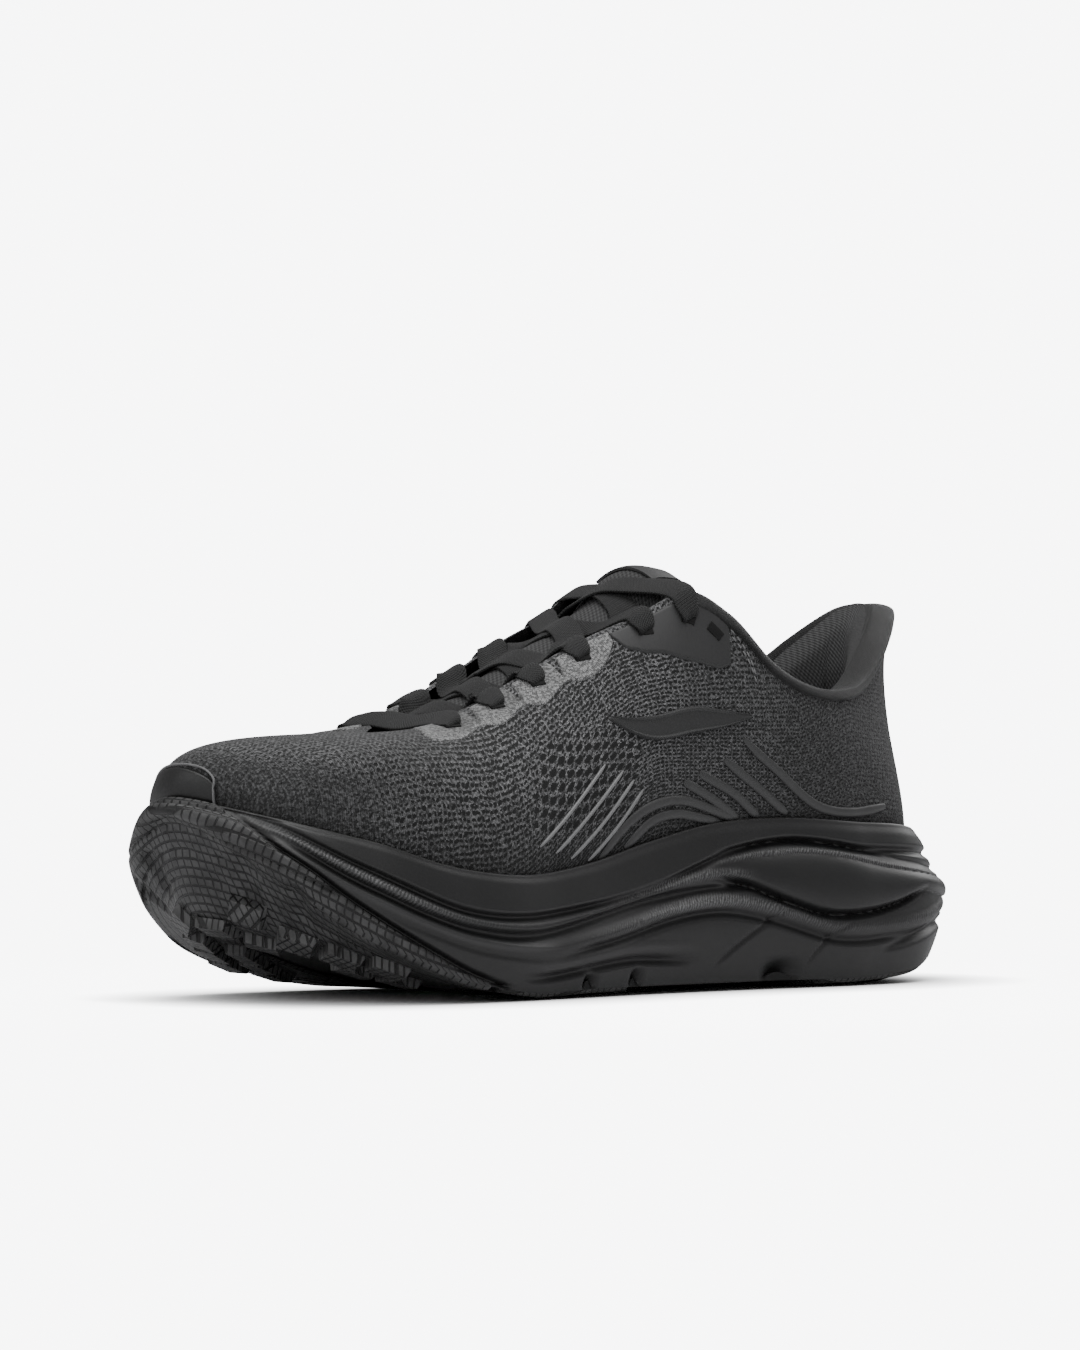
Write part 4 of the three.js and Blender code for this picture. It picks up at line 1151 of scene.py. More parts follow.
@dataclass
class KnitUpper:
    """The one-piece knit, its pores graded over the foot."""

    columns: int = 620
    rows: int = 110
    thickness: float = 1.4

    def flow(self, points: Array, phi: Array, climb: Array) -> Array:
        """Flow map: length along the shoe and round it, with the heel unrolled."""
        y = points[..., 1]
        low = 15 + 50 * smooth(-70, 10, y)
        around = 48 * (np.pi / 2 - np.arctan2(np.abs(points[..., 0]), points[..., 2] - low))
        back = folded(phi)
        heel = smooth(0.19, 0.13, back)
        side = np.clip(back / 0.14, 0, 1)
        length = np.where(back < 0.14, 90 + (1 - side) * 78, y)
        return np.stack([y + (length - y) * heel, around + (climb - 25 - around) * heel], -1)

    def masks(self, phi: Array, w: Array) -> dict[str, Array]:
        """Pore size, yarn tone and lean of the rows over the foot."""
        side = folded(phi)
        heel = smooth(0.24, 0.16, side)
        toe = smooth(0.44, 0.475, side)
        toe_low = toe * smooth(0.42, 0.3, w)
        vent = smooth(0.298, 0.318, side) * smooth(0.4, 0.375, side)
        vent = vent * smooth(0.1, 0.2, w - 1.6 * (side - 0.36)) * smooth(0.62, 0.45, w - 1.2 * (side - 0.34))
        front = smooth(0.27, 0.3, side) * smooth(0.46, 0.41, side)
        pore = 0.38 - 0.1 * vent + 0.06 * front - 0.05 * heel - 0.07 * toe - 0.16 * toe_low
        edge = smooth(0.93, 1.0, w)
        yarn = (0.62 + 0.4 * front * smooth(0.1, 0.5, w)) * (1 - 0.42 * heel) * (1 - 0.45 * toe_low)
        yarn = yarn * (1 - 0.4 * smooth(0.16, 0.02, w)) * (1 - 0.3 * edge)
        lean = 0.5 * heel - 0.5
        return {"pore": pore * (1 - 0.7 * edge), "yarn": yarn, "lean": lean, "vent": vent}

    def build(self) -> bpy.types.Object:
        """A shell from inside the cup to the collar, with a rolled top edge."""
        phis = np.arange(self.columns) / self.columns
        ws = np.concatenate([np.linspace(-0.2, -0.04, 3), np.linspace(0, 1, self.rows - 3)])
        phi, w = mesh_grid(phis, ws)
        climb = arc_length(LAST.skin(phi, np.clip(w, 0, 1)), 0)
        roll = 0.7 * (1 - np.sqrt(np.clip(1 - smooth(0.985, 1, w) ** 2, 0, 1)))
        front = LAST.upper(phi, w, roll)
        phi_in, w_in = mesh_grid(phis, np.linspace(-0.2, 1, 26))
        back = LAST.upper(phi_in, w_in, self.thickness - 0.7 * (w_in > 0.999))
        uv = self.flow(front, phi, climb)
        uv = np.concatenate([uv, uv[:, :1]], axis=1)
        return shell("knit_upper_fabric", front, back, UPPER_KNIT, closed=True, uv=uv,
                     masks=self.masks(phi, w))


def layer(name: str, phis: Array, ws: Array, front: Callable[[Array, Array], Array],
          back: Callable[[Array, Array], Array], finish: Finish) -> bpy.types.Object:
    """A layer behind the knit, between two depths given over (phi, w)."""
    phi, w = mesh_grid(phis, ws)
    outer, inner = LAST.upper(phi, w, front(phi, w)), LAST.upper(phi, w, back(phi, w))
    flow = np.stack([arc_length(inner, 1), arc_length(inner, 0)], -1)
    return shell(name, inner, outer, finish, uv=flow)


def slab(name: str, low: float, high: float, edge: float, finish: Finish) -> bpy.types.Object:
    """A footbed layer from one height to another above the foam's floor, dished up at its edge."""
    columns = 220
    phis = np.arange(columns) / columns
    dish = 2.2 if edge > 5 else 0.0
    rims = [(edge + 4, 0.3 * bool(dish)), (edge, dish)] if dish else [(edge, 0.0)]
    bottom = [Midsole.middle(phis, k, low) for k in (0.25, 0.6, 1 - 0.05 * bool(dish))][:2]
    bottom += [LAST.bed(phis, gap, low + rise) for gap, rise in rims]
    top = [LAST.bed(phis, gap, high + rise) for gap, rise in reversed(rims)]
    top += [Midsole.middle(phis, k, high) for k in (0.6, 0.25)]
    rings = np.stack(bottom + top)
    quads = grid_faces(len(rings), columns, True)
    ends = [zipped(0, columns, True), zipped((len(rings) - 1) * columns, columns, False)]
    faces = clean(np.vstack([quads, *ends]))
    flat = rings.reshape(-1, 3)
    round_uv = wrapped_uv(quads, columns, np.concatenate([rings[..., :2], rings[:, :1, :2]], 1))
    across_uv = flat[np.vstack(ends)][..., :2].reshape(-1, 2)
    corner = np.vstack([round_uv, across_uv])[: sum(len(face) for face in faces)]
    return piece(name, flat, faces, finish, corner / 1000)


class Shape(Enum):
    """What is repeated: a thread stitch or a tapered tread lug."""

    STITCH = "stitch"
    LUG = "lug"


@dataclass
class Repeat:
    """One small form set many times over by a geometry node tree."""

    name: str
    shape: Shape
    length: float
    width: float
    height: float
    finish: Finish

    def tree(self) -> tuple[bpy.types.NodeTree, dict[str, str]]:
        """The node tree, and the identifiers of its inputs by name."""
        tree = bpy.data.node_groups.new(self.name + "_tree", "GeometryNodeTree")
        ids = {}
        for label, kind in (("Geometry", "NodeSocketGeometry"), ("Length", "NodeSocketFloat"),
                            ("Width", "NodeSocketFloat"), ("Height", "NodeSocketFloat")):
            ids[label] = tree.interface.new_socket(label, in_out="INPUT", socket_type=kind).identifier
        tree.interface.new_socket("Geometry", in_out="OUTPUT", socket_type="NodeSocketGeometry")

        def add(kind: str, links: dict, **settings: object) -> bpy.types.Node:
            """Adds a node with its settings and links."""
            node = tree.nodes.new(kind)
            for key, value in settings.items():
                setattr(node, key, value)
            for key, value in links.items():
                if isinstance(value, bpy.types.NodeSocket):
                    tree.links.new(value, node.inputs[key])
                else:
                    node.inputs[key].default_value = value
            return node

        start = add("NodeGroupInput", {})
        size = add("ShaderNodeCombineXYZ", {"X": start.outputs["Length"], "Y": start.outputs["Width"],
                                            "Z": start.outputs["Height"]})
        if self.shape is Shape.STITCH:
            form = add("GeometryNodeMeshUVSphere", {"Segments": 8, "Rings": 5, "Radius": 0.5})
            solid = form.outputs["Mesh"]
        else:
            form = add("GeometryNodeMeshCone", {"Vertices": 4, "Radius Top": 0.58, "Radius Bottom": 0.7,
                                                "Depth": 1.0})
            solid = add("GeometryNodeTransform", {"Geometry": form.outputs["Mesh"],
                                                  "Rotation": (0, 0, math.pi / 4)}).outputs[0]
        along = add("GeometryNodeInputNamedAttribute", {"Name": "along"}, data_type="FLOAT_VECTOR")
        out = add("GeometryNodeInputNamedAttribute", {"Name": "out"}, data_type="FLOAT_VECTOR")
        turn = add("FunctionNodeAlignRotationToVector", {"Vector": out.outputs["Attribute"]}, axis="Z")
        turn = add("FunctionNodeAlignRotationToVector", {"Rotation": turn.outputs[0],
                                                         "Vector": along.outputs["Attribute"]},
                   axis="X", pivot_axis="Z")
        spread = add("GeometryNodeInstanceOnPoints", {"Points": start.outputs["Geometry"], "Instance": solid,
                                                      "Rotation": turn.outputs[0], "Scale": size.outputs[0]})
        real = add("GeometryNodeRealizeInstances", {"Geometry": spread.outputs[0]})
        dress_up = add("GeometryNodeSetMaterial", {"Geometry": real.outputs[0],
                                                   "Material": self.finish.material()})
        end = add("NodeGroupOutput", {})
        tree.links.new(dress_up.outputs[0], end.inputs[0])
        return tree, ids

    def place(self, points: Array, along: Array, out: Array) -> bpy.types.Object:
        """Sets the form at each point.

        Args:
            points: where, in millimetres.
            along: direction of each one's length.
            out: direction of each one's height.

        Returns:
            A plain mesh object of all of them.
        """
        seed = bpy.data.meshes.new(self.name + "_points")
        seed.from_pydata(LAST.place(points).tolist(), [], [])
        for key, value in (("along", along), ("out", out)):
            store = seed.attributes.new(key, "FLOAT_VECTOR", "POINT")
            store.data.foreach_set("vector", np.asarray(value).ravel())
        holder = bpy.data.objects.new(self.name + "_holder", seed)
        bpy.context.scene.collection.objects.link(holder)
        tree, ids = self.tree()
        live = holder.modifiers.new("repeat", "NODES")
        live.node_group = tree
        for label, value in (("Length", self.length), ("Width", self.width), ("Height", self.height)):
            live[ids[label]] = value / 1000
        ready = holder.evaluated_get(bpy.context.evaluated_depsgraph_get())
        mesh = bpy.data.meshes.new_from_object(ready)
        mesh.name = self.name
        holder.modifiers.remove(live)
        bpy.data.objects.remove(holder)
        if not mesh.materials:
            mesh.materials.append(self.finish.material())
        if self.shape is Shape.STITCH:
            mesh.shade_smooth()
        obj = bpy.data.objects.new(self.name, mesh)
        bpy.context.scene.collection.objects.link(obj)
        return obj


def bundle(name: str, sweeps: Iterable[tuple[Array, list, Array]], finish: Finish) -> bpy.types.Object:
    """Several sweeps as one piece."""
    points, faces, uvs, base = [], [], [], 0
    for at, quads, flow in sweeps:
        points.append(at)
        faces += [[corner + base for corner in face] for face in quads]
        uvs.append(flow)
        base += len(at)
    return piece(name, np.vstack(points), faces, finish, np.vstack(uvs))


def surface_path(places: Array, side: Side, steps: int, lift: float) -> tuple[Array, Array]:
    """Points along a route of (phi, w) over the knit, and the direction across it on the surface."""
    route = curve_through(np.asarray(places, float) * [720, 90], steps) / [720, 90]
    phi, w = side.turn(route[:, 0]), route[:, 1]
    path = LAST.upper(phi, w, -lift)
    out = path - LAST.upper(phi, w, 1 - lift)
    return path, np.cross(out, np.gradient(path, axis=0))


@dataclass
class Overlays:
    """Everything fused or sewn to the outside of the knit."""

    eyelets: tuple[tuple[float, float], ...] = (
        (0.438, 0.86), (0.405, 0.87), (0.374, 0.88), (0.343, 0.89), (0.303, 0.89), (0.277, 0.86))
    spare: tuple[float, float] = (0.259, 0.84)
    bright_ribs: tuple[tuple[tuple[float, float], ...], ...] = (
        ((0.337, 0.38), (0.355, 0.27), (0.378, 0.13)), ((0.323, 0.33), (0.343, 0.22), (0.367, 0.09)),
        ((0.314, 0.28), (0.332, 0.17), (0.356, 0.05)), ((0.306, 0.23), (0.321, 0.13), (0.343, 0.02)))
    dark_ribs: tuple[tuple[tuple[float, float], ...], ...] = (
        ((0.334, 0.01), (0.319, 0.1), (0.3, 0.15), (0.276, 0.14), (0.247, 0.07), (0.229, 0.01)),
        ((0.315, 0.015), (0.297, 0.09), (0.279, 0.09), (0.259, 0.05), (0.243, 0.01)),
        ((0.275, 0.21), (0.249, 0.12), (0.229, 0.02)), ((0.264, 0.24), (0.234, 0.15), (0.214, 0.03)),
        ((0.246, 0.31), (0.215, 0.19), (0.194, 0.05)),
        ((0.233, 0.43), (0.206, 0.33), (0.17, 0.11), (0.144, 0.09), (0.111, 0.14)))

    def ribs(self, side: Side) -> list[bpy.types.Object]:
        """The raised support lines between the heel and the ball of the foot."""
        made = []
        # the four thin ribs take the lighter film, a painted highlight
        for routes, width, height, kind, finish in ((self.bright_ribs, 1.1, 1.3, "piping", RIB_PAINTED_HIGHLIGHT),
                                                    (self.dark_ribs, 3.2, 1.7, "ribs", RIB_FILM)):
            sweeps = []
            for route in routes:
                path, across = surface_path(route, side, 14, 0.15)
                t = np.linspace(0, 1, len(path))
                taper = np.sqrt(np.clip(np.minimum(t, 1 - t) * 9, 0.02, 1))
                sweeps.append(sweep(path, across, width * (0.4 + 0.6 * taper), height * taper, 12, 0.9))
            made.append(bundle(f"support_{kind}_{side.value}", sweeps, finish))
        return made

    def plate(self, side: Side) -> bpy.types.Object:
        """The smooth plate under the top eyelets."""
        phis = np.linspace(0.247, 0.322, 90)
        low = along_curve(table((0.247, 0.74), (0.254, 0.69), (0.265, 0.67), (0.28, 0.68), (0.295, 0.745),
                                (0.309, 0.8), (0.318, 0.86), (0.322, 0.93)), phis)
        high = 0.955 - 0.03 * smooth(0.262, 0.247, phis)
        return patch(f"eyestay_plate_{side.value}_film", side, phis, low, high, 40, PLATE_FILM, 0.85, 1.0)

    def band(self, side: Side) -> bpy.types.Object:
        """The stitched light band round the lower eyelets, notched between them."""
        phis = np.linspace(0.322, 0.462, 260)
        low = along_curve(table(
            (0.322, 0.9), (0.328, 0.83), (0.343, 0.765), (0.358, 0.8), (0.374, 0.745), (0.39, 0.79),
            (0.405, 0.735), (0.421, 0.775), (0.438, 0.715), (0.452, 0.76), (0.462, 0.9)), phis)
        notch = sum(bump(phis - place, 0.0032) for place in (0.358, 0.3895, 0.4215))
        high = 0.965 - 0.12 * np.minimum(notch, 1)
        return patch(f"eyestay_band_{side.value}_thread", side, phis, low, high, 36, BAND_THREAD, 0.7, 0.8)

    def saddle(self, side: Side) -> bpy.types.Object:
        """A plain leaf with a raised border."""
        u = np.linspace(0, 1, 110)
        middle = 0.44 + 0.12 * (2 * u - 1) ** 2
        half = 0.055 * np.sin(math.pi * (0.02 + 0.96 * u)) ** 0.8

        def border(up: Array) -> Array:
            """A bead round the leaf's edge."""
            return 0.55 * bump(np.abs(2 * up - 1) - 0.82, 0.16)

        return patch(f"saddle_{side.value}_film", side, 0.228 + 0.107 * u, middle - half, middle + half, 36,
                     PLATE_FILM, 0.75, 0.8, border)

    def toe_bumper(self) -> bpy.types.Object:
        """The guard over the tip of the toe."""
        phis = np.linspace(0.4912, 0.532, 80)
        t = np.linspace(0, 1, 80)
        high = 0.05 + 0.185 * np.clip(4 * t * (1 - t), 0, 1) ** 0.3
        return patch("toe_bumper_rubber", Side.LATERAL, phis, 0.015, high, 30, TOE_RUBBER, 1.3, 1.4)

    def toe_bead(self) -> bpy.types.Object:
        """The light moulded line round the toe guard."""
        route = [(0.4914, 0.02), (0.4918, 0.1), (0.4926, 0.17), (0.496, 0.222), (0.502, 0.235),
                 (0.515, 0.235), (0.526, 0.222), (0.531, 0.16), (0.532, 0.03)]
        path, across = surface_path(route, Side.LATERAL, 10, 0.7)
        full = np.ones(len(path))
        return strip("toe_guard_bead", path, across, full * 0.6, full * 1.2, SEAM_THREAD, 10, 1.0)

    def heel_strip(self) -> bpy.types.Object:
        """The smooth strip up the back of the heel."""
        phis = np.linspace(-0.045, 0.045, 60)
        high = 0.965 - 0.02 * np.abs(phis) / 0.045
        return patch("heel_strip_film", Side.LATERAL, phis, 0.05, high, 80, HEEL_FILM, 0.8, 1.4)

    def slots(self, side: Side) -> bpy.types.Object:
        """Near-black pieces in the eyelets' mouths, painted shade in the holes, with the spare one open."""
        sweeps = []
        for phi, w in (*self.eyelets, self.spare):
            places = [(phi + step * 0.0042, w + step * 0.012) for step in (-1, -0.4, 0.4, 1)]
            path, across = surface_path(places, side, 3, 0.75)
            sweeps.append(sweep(path, across, np.full(len(path), 3.4), np.full(len(path), 0.5), 12, 0.35))
        return bundle(f"eyelet_mouths_{side.value}", sweeps, EYELET_SHADE)

    def stitches(self, side: Side) -> bpy.types.Object:
        """Two rows of light thread down the front of the collar."""
        seam = Repeat(f"collar_stitches_{side.value}", Shape.STITCH, 2.1, 0.6, 0.45, SEAM_THREAD)
        spots, along, out = [], [], []
        for offset in (0.0, 0.035):
            route = [(phi, w - offset) for phi, w in (
                (0.285, 0.965), (0.262, 0.945), (0.245, 0.915), (0.232, 0.86), (0.226, 0.78))]
            path, across = surface_path(route, side, 60, 0.2)
            run = arc_length(path[None], 1)[0]
            pick = np.searchsorted(run, np.arange(1, run[-1] - 1, 2.9))
            step = np.gradient(path, axis=0)[pick]
            spots.append(path[pick])
            along.append(step)
            out.append(np.cross(step, across[pick]))
        return seam.place(np.vstack(spots), np.vstack(along), np.vstack(out))


def sweep(path: Array, across: Array, width: Array, thick: Array, ring: int,
          crown: float) -> tuple[Array, list, Array]:
    """Points, faces and flow coordinates of a flat strip along a path, ends capped.

    Args:
        path: its centre points, in millimetres.
        across: direction of its width at each point.
        width: width at each point.
        thick: thickness at each point.
        ring: points round its section.
        crown: how square the section is, 1 an ellipse and 0 a box.

    Returns:
        The points, the faces, and one flow coordinate per face corner in metres.
    """
    tangent = np.gradient(path, axis=0)
    tangent /= np.linalg.norm(tangent, axis=1, keepdims=True)
    side = across - tangent * np.einsum("ij,ij->i", across, tangent)[:, None]
    side /= np.linalg.norm(side, axis=1, keepdims=True)
    normal = np.cross(tangent, side)
    turn = np.linspace(0, 2 * np.pi, ring, endpoint=False)
    a = np.sign(np.cos(turn)) * np.abs(np.cos(turn)) ** crown
    b = np.sign(np.sin(turn)) * np.abs(np.sin(turn)) ** crown
    around = (path[:, None] + side[:, None] * (a[None, :, None] * width[:, None, None] / 2)
              + normal[:, None] * (b[None, :, None] * thick[:, None, None] / 2))
    count = len(path)
    points = np.vstack([around.reshape(-1, 3), path[:1], path[-1:]])
    quads = grid_faces(count, ring, True)
    end, last = count * ring, (count - 1) * ring
    caps = [[end, (k + 1) % ring, k] for k in range(ring)]
    caps += [[end + 1, last + k, last + (k + 1) % ring] for k in range(ring)]
    run = arc_length(path[None], axis=1)[0]
    spread = np.concatenate([a, a[:1]]) * float(np.max(width)) / 2
    flow = np.stack(np.broadcast_arrays(run[:, None], spread[None]), -1)
    ends = [[run[0], 0]] * 3 * ring + [[run[-1], 0]] * 3 * ring
    turned = quads[:, ::-1]
    return points, turned.tolist() + caps, np.vstack([wrapped_uv(turned, ring, flow), ends]) / 1000


def strip(name: str, path: Array, across: Array, width: Array, thick: Array, finish: Finish,
          ring: int = 20, crown: float = 0.5) -> bpy.types.Object:
    """One flat strip along a path, as a piece."""
    return bundle(name, [sweep(path, across, width, thick, ring, crown)], finish)


@dataclass
class Collar:
    """The padded collar: its rolled edge, foam and linings."""

    reach: float = 0.272

    def edge(self) -> bpy.types.Object:
        """The smooth rolled edge over the top of the knit, foam and lining."""
        phis = np.linspace(-self.reach, self.reach, 360)
        depth = LAST.lining_depth(phis) + LAST.padding(phis, 1) + 1.4
        top = LAST.upper(phis, 1, 0)
        into = LAST.upper(phis, 1, 1) - top
        into[:, 2] *= 1 - 0.85 * bump(phis, 0.11)
        rise = top - LAST.upper(phis, 0.97, 0)
        rise /= np.linalg.norm(rise, axis=1, keepdims=True)
        rings = [LAST.upper(phis, w, lift - 0.25)
                 for w, lift in ((0.918, 0.4), (0.922, -0.3), (0.935, -0.7), (0.955, -0.9), (0.98, -0.95))]
        middle, half = depth / 2 - 0.1, depth / 2 + 0.9
        for turn in np.linspace(0, math.pi, 11):
            rings.append(top + into * (middle - half * math.cos(turn))[:, None] + rise * 0.9 * math.sin(turn))
        rings += [LAST.upper(phis, w, depth + lift)
                  for w, lift in ((0.955, 0.8), (0.935, 0.7), (0.915, 0.4), (0.9, -0.2))]
        front = np.stack(rings)
        core = top + into * middle[:, None] - rise * 2.5
        back = front + (core - front) * 0.16
        flow = np.stack([arc_length(front, 1), arc_length(front, 0)], -1)
        return shell("collar_edge_roll", front, back, COLLAR_CLOTH, uv=flow, sharp=70)

    def foam(self) -> bpy.types.Object:
        """The collar's padding."""
        return layer("collar_padding", np.linspace(-0.215, 0.215, 160), np.linspace(0.34, 0.94, 30),
                     lambda phi, w: LAST.lining_depth(phi),
                     lambda phi, w: LAST.lining_depth(phi) + LAST.padding(phi, w), SOFT_FOAM)

    def lining(self) -> bpy.types.Object:
        """The cloth over the padding, down inside the heel."""
        def inner(phi: Array, w: Array) -> Array:
            """Depth of its outer face."""
            return LAST.lining_depth(phi) + LAST.padding(phi, w) + 0.6

        return layer("collar_lining_cloth", np.linspace(-0.264, 0.264, 220), np.linspace(-0.13, 0.95, 70),
                     inner, lambda phi, w: inner(phi, w) + 0.8, LINING_CLOTH)

    def vamp(self) -> bpy.types.Object:
        """The cloth inside the forefoot."""
        return layer("vamp_lining_cloth", np.linspace(0.268, 0.732, 200), np.linspace(-0.13, 0.74, 40),
                     lambda phi, w: LAST.lining_depth(phi),
                     lambda phi, w: LAST.lining_depth(phi) + 0.7, LINING_CLOTH)

    def counter(self) -> bpy.types.Object:
        """The moulded heel cup between knit and lining."""
        return layer("heel_counter_cup", np.linspace(-0.105, 0.105, 90), np.linspace(0.04, 0.5, 24),
                     lambda phi, w: 2, lambda phi, w: 3.2, HEEL_PLASTIC)

    def puff(self) -> bpy.types.Object:
        """The stiffener inside the toe."""
        return layer("toe_puff_sheet", np.linspace(0.456, 0.544, 70), np.linspace(0.04, 0.3, 14),
                     lambda phi, w: 2, lambda phi, w: 3.1, PUFF_BOARD)


@dataclass
class Tongue:
    """The tongue: ribbed knit face, foam, lining and a plain label."""

    def sheet(self, name: str, span: tuple[float, float], reach: float, low: float, high: float,
              finish: Finish, rows: int = 90) -> bpy.types.Object:
        """A layer of the tongue between two shares of its thickness."""
        q, s = mesh_grid(np.linspace(-reach, reach, 60), np.linspace(*span, rows))
        front, back = LAST.tongue(s, q, low), LAST.tongue(s, q, high)
        flow = np.stack([arc_length(front, 1), arc_length(front, 0)], -1)
        return shell(name, front, back, finish, uv=flow)

    def build(self) -> list[tuple[bpy.types.Object, str, str]]:
        """The layers, each with its slot and CAD node."""
        return [
            (self.sheet("tongue_knit_face", (0, 1), 1, 0, 0.14, TONGUE_KNIT), "tongue_knit", "tongue_face"),
            (self.sheet("tongue_padding", (4 / 14, 13 / 14), 0.94, 0.2, 0.81, SOFT_FOAM, 40), "collar_foam",
             "tongue_foam"),
            (self.sheet("tongue_lining_cloth", (0, 1), 1, 0.88, 1, LINING_CLOTH), "lining_textile",
             "tongue_lining"),
            (self.sheet("tongue_label_film", (0.9, 0.975), 0.5, -0.12, -0.035, PLATE_FILM, 30), "smooth_film",
             "tongue_label"),
        ]


@dataclass
class Lacing:
    """A flat lace through six rows of eyelets, its ends tucked inside the shoe."""

    width: float = 9.2
    thickness: float = 1.1
    over: float = 1.4
    throat: tuple[float, float, float] = (0, 0.88, 0.47)
    eyelets: tuple[tuple[float, float], ...] = Overlays.eyelets
    routes: dict[Side, list[list[float]]] = field(default_factory=lambda: {
        Side.LATERAL: [
            [26, 39, 103], [26.5, 45, 94], [26.8, 52, 82], [26.8, 60, 69], [26.5, 70, 58], [25.5, 82, 50.5],
            [23, 95, 47.5], [18, 104, 47], [12, 105, 46.8], [8.5, 97, 46.7], [7.5, 84, 46.7], [7.5, 68, 46.3],
            [7.5, 50, 45.5], [8, 30, 44.5]],
        Side.MEDIAL: [
            [-25, 39, 103], [-24, 45, 94], [-22.5, 52, 82], [-20.8, 60, 69], [-20.3, 70, 58],
            [-20.5, 82, 50.5], [-20, 93, 47.6], [-16.5, 101, 47], [-11.5, 102, 46.8], [-8.5, 94, 46.7],
            [-8, 80, 46.7], [-8, 64, 46.1], [-8, 46, 45.3], [-8, 26, 44.3]]})

    @staticmethod
    def point(phi: float, w: float, depth: float) -> Array:
        """One point behind the upper's outside."""
        return LAST.upper(np.array([phi]), w, depth)[0]

    def eyelet(self, row: int, medial: bool) -> tuple[float, float]:
        """Place of an eyelet, as phi and w."""
        phi, w = self.eyelets[row]
        return (1 - phi if medial else phi), w

    @staticmethod
    def tongue_top(y: float) -> float:
        """Height of the tongue's ridge at y."""
        track = LAST.keyed(LAST.TONGUE, np.linspace(0, 1, 400))[:340]
        return float(np.interp(y, track[:, 0], track[:, 1]))

    def down(self, row: int, medial: bool, lift: float) -> list[tuple[Array, float]]:
        """From the throat's middle out to an eyelet and down through it, as points and widths."""
        p, w = self.eyelet(row, medial)
        rim = self.point(p, 1, -0.5 - lift * 0.3) * [0.97, 1, 1]
        return [(rim, self.width), (self.point(p, w + (1 - w) * 0.45, -self.over + 0.1), self.width * 0.9),
                (self.point(p, w, -self.over + 0.3), 5.4), (self.point(p, w, 1), 3.2),
                (self.point(p, w + (1 - w) * 0.12, 3.6), 3)]

    def up(self, row: int, medial: bool) -> list[tuple[Array, float]]:
        """From under an eyelet out past the throat's edge."""
        p, w = self.eyelet(row, medial)
        return [(self.point(p, w + (1 - w) * 0.6, 3.9), self.width * 0.8),
                (self.point(p, 1, 3.4) * [0.8, 1, 1], self.width * 0.9)]

    def cross(self, row: int, medial: bool, above: bool) -> list[tuple[Array, float]]:
        """Over the tongue from one side to the other, between two rows."""
        y0, y1 = (LAST.keyed(LAST.topline, np.array([self.eyelets[k][0]]), 1)[0, 1] for k in (row, row + 1))
        made = []
        for t in (0.3, 0.5, 0.7):
            x = (t - 0.5) * 5 * (11 - row * 0.2) * (1 if medial else -1)
            y = y0 + (y1 - y0) * t
            z = self.tongue_top(y) - LAST.TONGUE_DROP * x * x + (2.1 if above else 0.9)
            made.append((np.array([x, y, z]), self.width))
        return made

    def half(self, medial: bool) -> list[tuple[Array, float]]:
        """One half of the lace, up from the bottom bar."""
        stations = self.down(0, medial, 0)
        for row in range(len(self.eyelets) - 1):
            here = medial if row % 2 == 0 else not medial
            stations += self.up(row, here) + self.cross(row, here, medial)
            stations += self.down(row + 1, not here, float(medial))
        return stations

    def lace(self) -> bpy.types.Object:
        """The laced length, from top eyelet to top eyelet by way of the bar."""
        y = float(LAST.keyed(LAST.topline, np.array([self.eyelets[0][0]]), 1)[0, 1])
        bar = (np.array([0, y - 1, self.tongue_top(y) + 1.3]), self.width)
        stations = self.half(True)[::-1] + [bar] + self.half(False)
        rows = np.array([[*at, width] for at, width in stations])
        fine = curve_through(rows, 8)
        across = np.tile(np.array(self.throat), (len(fine), 1))
        thick = np.full(len(fine), self.thickness)
        return strip("lace_band", fine[:, :3], across, fine[:, 3], thick, LACE_CLOTH)

    def tail(self, side: Side) -> tuple[bpy.types.Object, bpy.types.Object]:
        """A loose end down inside the shoe, and its tip."""
        route = np.array(self.routes[side], float)
        path = curve_through(route, 10)
        flat = np.cross(np.gradient(path, axis=0), UP)
        flat[:30] = [0, 1, 0.2]
        flat = curve_through(flat[::10], 10)[: len(path)]
        full = np.ones(len(path))
        end = strip(f"lace_tail_{side.value}_band", path, flat, full * 2.8, full * 1.3, LACE_CLOTH, 12)
        tip = path[-1] + np.linspace(0, 1, 12)[:, None] * [0, -20, 0]
        width = np.array([2.4, 2.9, 3, 3, 3, 3, 3, 3, 3, 2.9, 2.7, 2.2])
        level = np.tile([1.0, 0, 0], (len(tip), 1))
        aglet = strip(f"lace_tip_{side.value}", tip + [0, -0.3, 0], level, width, width, AGLET, 16, 1.0)
        tuple(LAST.place(path[0]))
        [tuple(p) for p in LAST.place(path)]
        return end, aglet


# ---------------------------------------------------------------- studio


